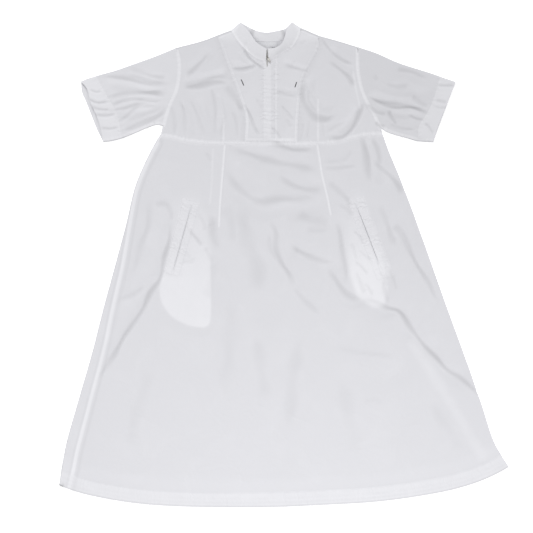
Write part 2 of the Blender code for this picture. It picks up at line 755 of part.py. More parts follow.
def sleeve_layer(shape, cuff, mirrored):
    """Plan rows of one layer of a sleeve, left to right, each from the top edge down."""
    hem_line = spans(shape["hem_line"], ARMHOLE_SPANS)
    armhole = spans(ARMHOLE_RIGHT if mirrored else ARMHOLE_LEFT, ARMHOLE_SPANS)[::-1]
    cuff_edge = spans(cuff, ARMHOLE_SPANS)
    if mirrored:
        body = (armhole, hem_line)
        hem = (hem_line, cuff_edge)
    else:
        body = (hem_line, armhole)
        hem = (cuff_edge, hem_line)
    body_sides = [spans(shape[name], SLEEVE_SPANS) for name in ("top", "under")]
    hem_sides = [spans(shape[name], SLEEVE_HEM_SPANS) for name in ("top_hem", "under_hem")]
    body_rows = patch(*body, *body_sides)
    hem_rows = patch(*hem, *hem_sides)
    gap = SEAM / 2
    if mirrored:
        rows = draw_in(body_rows, bottom=gap) + hem_rows[1:]
    else:
        rows = hem_rows[:-1] + draw_in(body_rows, top=gap)
    return draw_in(rows, left=EDGE_ROLL, right=EDGE_ROLL)


def make_sleeve(side):
    """Flattened tube from the armhole to the cuff, with a doubled hem."""
    mirrored = side == "right"
    shape = SLEEVE_RIGHT if mirrored else SLEEVE_LEFT
    folds = FOLDS[side + "_sleeve"]
    top_layer = sleeve_layer(shape, shape["cuff_front"], mirrored)
    low_layer = sleeve_layer(shape, shape["cuff_back"], mirrored)
    count = len(top_layer)
    rings = []
    for j, (front, back) in enumerate(zip(top_layer, low_layer)):
        from_armhole = j / (count - 1) if mirrored else 1 - j / (count - 1)
        opening = CUFF_OPENING * ease((from_armhole - CUFF_START) / (1 - CUFF_START))
        ring = []
        for i, point in enumerate(front):
            across = i / ARMHOLE_SPANS
            edge_fade = ease(min(across, 1 - across) / SLEEVE_EDGE_FADE)
            lift = fold_height(folds, point.x, point.y) * edge_fade
            lift += opening * math.sin(math.pi * across)
            lift += HEM_RISE * ease((from_armhole - SLEEVE_HEM_START) / SLEEVE_HEM_FADE)
            ring.append(Vector((point.x, point.y, FRONT_LEVEL + lift)))
        lower = (back[-1] - back[-2]).normalized()
        upper = (back[0] - back[1]).normalized()
        ring += turn(back[-1], lower, 0.0, ring[-1].z, upward=False)
        ring += [Vector((p.x, p.y, 0.0)) for p in reversed(back)]
        ring += turn(back[0], upper, 0.0, ring[0].z, upward=True)
        ring.append(ring[0].copy())
        rings.append(ring)

    hem = SLEEVE_HEM_SPANS
    hem_rings = range(count - hem, count) if mirrored else range(0, hem)

    def in_hem(i, j):
        return j in hem_rings

    cloth("sleeve_" + side, rings, face_up=True, is_double=in_hem, closed=True)


def make_collar():
    """Stand collar: one doubled band from one front end round the back to the other."""
    left_seam = [Vector((p.x, p.y, bib_level(p.x))) for p in spans(NECK_LEFT, NECK_SPANS)][::-1]
    right_seam = [Vector((p.x, p.y, bib_level(p.x))) for p in spans(NECK_RIGHT, NECK_SPANS)][::-1]
    back_seam = [Vector((p.x, p.y, 0.0)) for p in spans(NECK_BACK, BACK_NECK_SPANS)]
    left_top = spans(COLLAR_TOP_LEFT, NECK_SPANS)[::-1]
    right_top = spans(COLLAR_TOP_RIGHT, NECK_SPANS)[::-1]
    back_top = spans(COLLAR_TOP_BACK, BACK_NECK_SPANS)

    def folded(front, back):
        """Points of the turned edge where a front line becomes the back line."""
        radius = (front[0].z - back[0].z) / 2
        runs = [(line[0] - line[1]).to_2d().normalized() for line in (front, back)]
        outward = (runs[0] + runs[1]).normalized()
        corner = front[0].to_2d()
        points = []
        for step in range(ROLL_STEPS + 1):
            angle = math.pi * step / ROLL_STEPS
            toward_back = (1 - math.cos(angle)) / 2
            inward = runs[0].lerp(runs[1], toward_back)
            place = corner - inward * radius + outward * radius * math.sin(angle)
            points.append(Vector((place.x, place.y, back[0].z + radius * (1 + math.cos(angle)))))
        return points

    def band(left, back, right):
        west = folded(left[::-1], back)
        east = folded(right, back[::-1])
        return left[:-1] + west + back[1:-1] + east[::-1] + right[1:]

    seam = band(left_seam, back_seam, right_seam)
    top = band(left_top, back_top, right_top)
    rows = []
    for low, high in zip(seam, top):
        to_corner = min((low.to_2d() - Vector(corner)).length for corner in NECK_CORNERS)
        gap = CORNER_GAP if to_corner < 3 * CORNER_GAP + EDGE_ROLL else SEAM / 2
        start = low + (high - low).normalized() * gap
        rows.append([start.lerp(high, i / COLLAR_SPANS) for i in range(COLLAR_SPANS + 1)])
    cloth("collar", rows, face_up=True, wall=COLLAR_WALL)


def plate(name, outline, low, high, hole=None, finish="cotton"):
    """Flat piece between two heights, with an optional opening."""
    bm = bmesh.new()
    edges = []
    for loop in (outline, hole):
        if loop:
            verts = [bm.verts.new((p.x * MM, p.y * MM, high * MM)) for p in loop]
            edges += [bm.edges.new(pair) for pair in zip(verts, verts[1:] + verts[:1])]
    bmesh.ops.triangle_fill(bm, use_beauty=True, use_dissolve=False, edges=edges)
    bmesh.ops.recalc_face_normals(bm, faces=bm.faces)
    if sum(face.normal.z for face in bm.faces) < 0:
        bmesh.ops.reverse_faces(bm, faces=bm.faces)
    piece = add_object(name, bm, finish)
    thicken(piece, high - low)
    return piece


def frame_round(slit, before, after, beyond):
    """Rectangle round a slit, set off to each side and past both ends."""
    top, bottom = (Vector(end) for end in slit)
    along = (top - bottom).normalized()
    across = Vector((along.y, -along.x))
    return [
        top + along * beyond - across * before,
        top + along * beyond + across * after,
        bottom - along * beyond + across * after,
        bottom - along * beyond - across * before,
    ]


def make_pocket(side, skirt_front):
    """Two-ply bag with a mouth, the facing in the mouth, and the slit in the skirt."""
    pocket = POCKETS[side]
    before, after = pocket["facing"]
    slit = frame_round(pocket["slit"], SLIT_WIDTH / 2, SLIT_WIDTH / 2, 0.0)
    mouth = frame_round(pocket["slit"], before, after, SLIT_MARGIN)
    facing = frame_round(pocket["slit"], before - SEAM, after - SEAM, SLIT_MARGIN - SEAM)
    outline = spans(pocket["bag"] + pocket["bag"][:1], BAG_SPANS)[:-1]

    bm = bmesh.new()
    floor = [bm.verts.new((p.x * MM, p.y * MM, BAG_FLOOR * MM)) for p in outline]
    floor_edges = [bm.edges.new(pair) for pair in zip(floor, floor[1:] + floor[:1])]
    wall = bmesh.ops.extrude_edge_only(bm, edges=floor_edges)["geom"]
    raised_verts = [item for item in wall if isinstance(item, bmesh.types.BMVert)]
    top_edges = [
        item for item in wall
        if isinstance(item, bmesh.types.BMEdge) and all(v in raised_verts for v in item.verts)
    ]
    bmesh.ops.translate(bm, verts=raised_verts, vec=(0, 0, (BAG_TOP - BAG_FLOOR) * MM))
    bmesh.ops.triangle_fill(bm, use_beauty=True, use_dissolve=False, edges=floor_edges)
    rim = [bm.verts.new((p.x * MM, p.y * MM, BAG_TOP * MM)) for p in mouth]
    rim_edges = [bm.edges.new(pair) for pair in zip(rim, rim[1:] + rim[:1])]
    bmesh.ops.triangle_fill(bm, use_beauty=True, use_dissolve=False, edges=top_edges + rim_edges)
    bmesh.ops.recalc_face_normals(bm, faces=bm.faces)
    thicken(add_object("pocket_bag_" + side, bm, "cotton"), WALL)

    plate("pocket_facing_" + side, facing, BAG_TOP - WALL, BAG_TOP, hole=slit)

    low = FRONT_LEVEL - DOUBLE_WALL
    cutter = plate("slit_cutter_" + side, slit, low, FRONT_LEVEL + CUT_HEIGHT)
    combine(skirt_front, cutter, "DIFFERENCE")


def make_zip_tape(side):
    """One tape of the zip, parting round the slider's neck."""
    sign = -1 if side == "left" else 1
    neck = SLIDER_Y + SLIDER_LENGTH / 2 - NECK_LENGTH
    table = (
        # height on the dress, inner edge from the centre, level
        (ZIP_BOTTOM + SEAM, SEAM / 2, TAPE_LEVEL),
        (neck - TAPE_PARTING, SEAM / 2, TAPE_LEVEL),
        (neck - SEAM, NECK_WIDTH / 2 + SEAM, TAPE_LEVEL),
        (SLIDER_Y + SLIDER_LENGTH / 2 + TAPE_ABOVE, NECK_WIDTH / 2 + TAPE_CLEAR, TAPE_LEVEL),
        (ZIP_TOP - TAPE_END, MOUTH_HALF - TAPE_SHOWN, TAPE_LEVEL + TAPE_RISE),
    )
    rows = []
    for y, inner, level in table:
        near = Vector((ZIP_X + sign * inner, y, level))
        far = Vector((ZIP_X + sign * TAPE_HALF, y, level))
        pair = (far, near) if side == "left" else (near, far)
        rows.append([pair[0].lerp(pair[1], i / TAPE_SPANS) for i in range(TAPE_SPANS + 1)])
    cloth("zip_tape_" + side, rows, finish="tape")


def box(name, centre, size, finish="metal"):
    bm = bmesh.new()
    bmesh.ops.create_cube(bm, size=1.0)
    bmesh.ops.scale(bm, verts=bm.verts, vec=[length * MM for length in size])
    bmesh.ops.translate(bm, verts=bm.verts, vec=[value * MM for value in centre])
    return add_object(name, bm, finish)


def helper(thing):
    """Move a shape that only joins or cuts another to the cutters."""
    dress.objects.unlink(thing)
    cutters.objects.link(thing)
    thing.display_type = "WIRE"
    thing.hide_render = True
    return thing


def combine(target, other, operation):
    joint = target.modifiers.new(other.name, "BOOLEAN")
    joint.operation = operation
    joint.solver = "EXACT"
    joint.object = helper(other)


def make_slider():
    """Two plates joined by a neck, with a bridge that holds the pull."""
    channel_low = TAPE_LEVEL - WALL - SEAM
    channel_high = channel_low + CHANNEL
    slider = box(
        "zip_slider", (ZIP_X, SLIDER_Y, channel_high + PLATE / 2),
        (SLIDER_WIDTH, SLIDER_LENGTH, PLATE),
    )
    bevel = slider.modifiers.new("rounded corners", "BEVEL")
    bevel.width = PLATE_CORNER * MM
    bevel.segments = 2
    lower = box(
        "slider_lower_plate", (ZIP_X, SLIDER_Y, channel_low - PLATE / 2),
        (SLIDER_WIDTH - 2 * LOWER_INSET, SLIDER_LENGTH, PLATE),
    )
    neck = box(
        "slider_neck",
        (ZIP_X, SLIDER_Y + (SLIDER_LENGTH - NECK_LENGTH) / 2, (channel_low + channel_high) / 2),
        (NECK_WIDTH, NECK_LENGTH - NECK_INSET, CHANNEL + 2 * JOIN),
    )
    bridge_top = channel_high + PLATE + BRIDGE_CLEAR + BRIDGE_BAR
    bridge_low = channel_high + PLATE - JOIN
    bridge = box(
        "slider_bridge", (ZIP_X, SLIDER_Y, (bridge_low + bridge_top) / 2),
        (BRIDGE_WIDTH, BRIDGE_LENGTH, bridge_top - bridge_low),
    )
    window = box(
        "slider_window",
        (ZIP_X, SLIDER_Y, channel_high + PLATE + BRIDGE_CLEAR / 2),
        (BRIDGE_WIDTH * 3, BRIDGE_LENGTH - 2 * BRIDGE_BAR, BRIDGE_CLEAR),
    )
    combine(bridge, window, "DIFFERENCE")
    for piece in (lower, neck, bridge):
        combine(slider, piece, "UNION")


def make_pull():
    """Pull tab, turned about its cross bar under the slider's bridge."""
    bridge_under = TAPE_LEVEL - WALL - SEAM + CHANNEL + PLATE + BRIDGE_CLEAR
    axis_z = bridge_under - SEAM - PULL_BAR
    bm = bmesh.new()
    half_outline = (
        (PULL_TIP_WIDTH / 2, -PULL_LENGTH), (PULL_END_WIDTH / 2, -PULL_LENGTH + PULL_TIP),
        (PULL_WIDTH / 2, -PULL_EYE - PULL_WAIST), (PULL_WIDTH / 2, 0.0),
        (PULL_WIDTH / 2 - PULL_CORNER, PULL_HEAD),
    )
    outline = half_outline + tuple((-x, y) for x, y in half_outline[::-1])
    eye = PULL_WIDTH / 2 - PULL_ARM
    hole = ((-eye, -EYE_TOP), (-eye, -PULL_EYE), (eye, -PULL_EYE), (eye, -EYE_TOP))
    edges = []
    for loop in (outline, hole):
        verts = [bm.verts.new((x * MM, y * MM, PULL_THICK / 2 * MM)) for x, y in loop]
        edges += [bm.edges.new(pair) for pair in zip(verts, verts[1:] + verts[:1])]
    bmesh.ops.triangle_fill(bm, use_beauty=True, use_dissolve=False, edges=edges)
    bmesh.ops.recalc_face_normals(bm, faces=bm.faces)
    if sum(face.normal.z for face in bm.faces) < 0:
        bmesh.ops.reverse_faces(bm, faces=bm.faces)
    pull = add_object("zip_pull", bm, "metal")
    thicken(pull, PULL_THICK)
    pull.location = Vector((ZIP_X, SLIDER_Y, axis_z)) * MM
    pull.rotation_euler = (math.radians(-PULL_LIFT), 0.0, math.radians(PULL_TURN))


def make_label(name, sides):
    left, right, low, high = sides
    corners = [Vector(p) for p in ((left, low), (right, low), (right, high), (left, high))]
    plate(name, corners, WALL + SEAM, WALL + SEAM + WALL, finish="label")


for old in list(bpy.data.objects):
    bpy.data.objects.remove(old, do_unlink=True)
dress = bpy.data.collections.new("half_zip_dress")
cutters = bpy.data.collections.new("cutters")
bpy.context.scene.collection.children.link(dress)
bpy.context.scene.collection.children.link(cutters)

skirt = make_skirt()
for pocket_side in POCKETS:
    make_pocket(pocket_side, skirt)
make_bodice_back()
make_front_side("left", WAIST_LEFT, UNDERARM_LEFT, ARMHOLE_LEFT, SHOULDER_LEFT, BIB_EDGE_LEFT)
make_front_side(
    "right", WAIST_RIGHT, UNDERARM_RIGHT, ARMHOLE_RIGHT, SHOULDER_RIGHT, BIB_EDGE_RIGHT
)
make_bib("left")
make_bib("right")
make_sleeve("left")
make_sleeve("right")
make_collar()
make_zip_tape("left")
make_zip_tape("right")
make_slider()
make_pull()
make_label("label", LABEL)
make_label("size_tag", SIZE_TAG)
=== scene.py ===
import json
import math

import bmesh
import bpy
import numpy as np
from mathutils import Matrix, Vector

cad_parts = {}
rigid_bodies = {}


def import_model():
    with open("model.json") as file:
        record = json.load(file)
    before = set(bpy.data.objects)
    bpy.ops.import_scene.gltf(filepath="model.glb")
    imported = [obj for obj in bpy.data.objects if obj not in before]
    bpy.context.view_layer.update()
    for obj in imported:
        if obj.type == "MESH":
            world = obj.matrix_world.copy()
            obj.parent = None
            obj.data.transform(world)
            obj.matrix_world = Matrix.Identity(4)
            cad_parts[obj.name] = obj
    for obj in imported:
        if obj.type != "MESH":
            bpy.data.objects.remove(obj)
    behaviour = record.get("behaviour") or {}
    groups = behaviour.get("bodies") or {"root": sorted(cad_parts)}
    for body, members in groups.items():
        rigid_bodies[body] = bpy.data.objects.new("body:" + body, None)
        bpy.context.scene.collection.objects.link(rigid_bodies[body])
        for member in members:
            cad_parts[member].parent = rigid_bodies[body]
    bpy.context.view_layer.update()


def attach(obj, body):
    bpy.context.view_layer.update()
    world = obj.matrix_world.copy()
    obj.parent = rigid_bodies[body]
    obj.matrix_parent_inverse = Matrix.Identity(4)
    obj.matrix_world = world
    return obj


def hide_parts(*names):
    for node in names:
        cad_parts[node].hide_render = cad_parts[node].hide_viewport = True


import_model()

# Half-zip dress laid flat, front up. Lengths are in millimetres until a point goes into a mesh.
# Places read off the photograph are in its pixels and go through fromPhoto.
mm = 0.001
photo = {
    "millimetresPerPixel": 2.3,
    "originPixel": (283.25, 264.25),
    "size": 533,
}

cloth = {
    "wall": 0.8,            # one ply
    "doubleWall": 1.5,      # hem, bib and collar
    "edgeRoll": 1.8,        # radius where the cloth turns over
    "rollSteps": 6,
    "seamTurn": 3.0,        # the back reaches this far over shoulders and short sides
    "frontLevel": 3.6,
    "hemDepth": 34.0,
    "hemRise": 2.0,
    # width of the turned-over left edge at shares of its length from hem to waist
    "sideFlap": ((0.0, 20), (0.06, 26), (0.14, 27), (0.28, 24), (0.42, 22), (0.52, 18),
                 (0.62, 15), (0.74, 6), (0.84, 3), (1.0, 3)),
    "underFlap": 34.0,
    "deepestCrease": 2.2,
    "bagRise": 1.3,
    "bagFade": 26.0,
}

zipper = {
    "x": -36.9,
    "neckSeamY": 466.0,
    "mouthHalf": 2.9,
    "mouthStart": 452.0,
    "tapeHalf": 13.0,
    "tapeEnds": (284.3, 494.5),
    "tapeColumns": 8,
    "tapeWall": 0.6,
    "rise": 1.1,
    "riseHalf": 46.0,
    "riseFade": 24.0,
    "sliderY": 476.0,
    "sliderLength": 9.0,
    "sliderNeck": 2.0,
    "toothPitch": 2.1,
}

# Outline as laid out, in millimetres from above
outline = {
    "leftSide": (
        (-281, 300), (-297, 274), (-317, 235), (-340, 180), (-360, 97), (-382, 14),
        (-412, -96), (-440, -206), (-472, -317), (-502, -427), (-514, -508)),
    "rightSide": (
        (227, 303), (241, 263), (264, 208), (286, 152), (306, 97), (336, 14),
        (375, -96), (415, -206), (454, -317), (493, -427), (517, -466)),
    "hem": (
        (-514, -508), (-479, -521), (-412, -537), (-316, -551), (-233, -556), (-122, -558),
        (-12, -557), (98, -552), (209, -545.5), (319, -531), (402, -514), (457, -496),
        (492, -480), (517, -466)),
    "waistLeft": ((-281, 300), (-249, 294), (-226, 288), (-191, 283), (-88, 281)),
    "waistBib": ((-88, 281), (-36.9, 280), (32, 279)),
    "waistRight": ((32, 279), (108, 283), (154, 293), (177, 299), (227, 303)),
    "underarmLeft": ((-281, 300), (-277, 318)),
    "underarmRight": ((227, 303), (224, 313)),
    "armholeLeft": (
        (-277, 318), (-270, 343), (-260, 371), (-247, 401), (-241, 435), (-241, 465),
        (-247, 497)),
    "armholeRight": ((224, 313), (211, 343), (195, 371), (181, 405), (173, 447), (172, 499)),
    "shoulderLeft": ((-247, 497), (-178, 516), (-152, 526)),
    "shoulderRight": ((83, 525), (126, 513), (172, 499)),
    "bibShoulderLeft": ((-152, 526), (-120, 538)),
    "bibShoulderRight": ((41, 543), (83, 525)),
    "bibEdgeLeft": ((-88, 281), (-88, 348), (-99, 382), (-116, 428), (-132, 470), (-152, 526)),
    "bibEdgeRight": (
        (32, 279), (34, 332), (39, 389), (45, 424), (64, 465), (80, 497), (83, 525)),
    "neckBack": (
        (-120, 538), (-99, 523), (-72, 515), (-37, 512), (-5, 515), (20, 526), (41, 543)),
    "neckLeft": (
        (-120, 538), (-109, 520), (-93, 500), (-76, 484), (-58, 472), (-39.8, 466)),
    "neckRight": (
        (-34.0, 466), (-8, 484), (8, 492), (20, 500), (31, 516), (41, 543)),
}

# each sleeve's tone and shade are painted light and painted shade: the left sleeve is painted lighter
# through its tone and the right sleeve darker through its shade, where the light falls unevenly across them
sleeves = {
    "left": {
        "tone": 0.11,
        "shade": 0.0,
        "top": ((-431, 431), (-398, 441), (-343, 460), (-288, 480), (-247, 497)),
        "topHem": ((-465, 419), (-452, 424.5), (-431, 431)),
        "under": ((-373, 289), (-343, 300), (-313, 313), (-288, 320), (-277, 318)),
        "underHem": ((-414, 281.5), (-398, 283), (-373, 289)),
        "cuffFront": (
            (-465, 419), (-454, 408), (-442, 369), (-428, 339), (-420, 313), (-414, 281.5)),
        "cuffBack": (
            (-467, 419), (-465, 396), (-456, 375), (-447, 352), (-438, 329), (-428, 305),
            (-416, 281.5)),
        "hemLine": ((-431, 431), (-405, 385), (-382, 343), (-375, 309), (-373, 289)),
    },
    "right": {
        "tone": 0.0,
        "shade": 0.4,
        "top": ((172, 499), (209, 487), (264, 463), (319, 445), (361, 430)),
        "topHem": ((361, 430), (396, 418)),
        "under": ((224, 313), (236, 305), (264, 295), (290, 288), (309, 283)),
        "underHem": ((309, 283), (345, 281)),
        "cuffFront": ((396, 418), (374, 362), (357, 320), (345, 281)),
        "cuffBack": ((396, 418), (375, 362.5), (358.5, 320), (345, 281)),
        "hemLine": ((361, 430), (347, 382), (333, 350), (312, 316), (309, 283)),
    },
}

pockets = {
    "left": {
        "slit": ((-210, 139), (-254, -18)),
        "slitHalf": 0.6,
        "facing": (23.0, 18.0),
        "ends": (8.0, 8.0),     # facing beyond the slit's upper and lower end
        "bag": (
            (-232, 148), (-196, 146), (-178, 110), (-168, 40), (-166, -60), (-166, -146),
            (-214, -143), (-256, -122), (-279, -92), (-286, -58), (-276, -20), (-262, 10),
            (-250, 70)),
        "bagSolid": (
            (-244, 154), (-184, 154), (-172, 90), (-166, 20), (-166, -148), (-214, -144),
            (-256, -124), (-281, -92), (-291, -55), (-287, 5), (-266, 80)),
        "tone": (0.16, 0.38),
        "toneTop": 100,
        "toneRun": 150,
        "soft": 7.0,
        "flat": (0.25, 0.31),
        "area": 0.058,
    },
    "right": {
        "slit": ((165, 141), (220, -2)),
        "slitHalf": 1.5,
        "facing": (18.0, 24.0),
        "ends": (8.0, 34.0),
        "bag": (
            (158, 150), (182, 150), (202, 90), (228, 20), (238, -30), (238, -80),
            (226, -98), (200, -96), (168, -72), (152, -20), (142, 50), (146, 110)),
        "bagSolid": (
            (136, 156), (198, 156), (228, 90), (257, 5), (255, -70), (230, -104),
            (188, -111), (154, -86), (140, -20), (134, 70)),
        "tone": (0.14, 0.46),
        "toneTop": 110,
        "toneRun": 130,
        "soft": 14.0,
        "flat": (0.25, 0.27),
        "area": 0.046,
    },
}

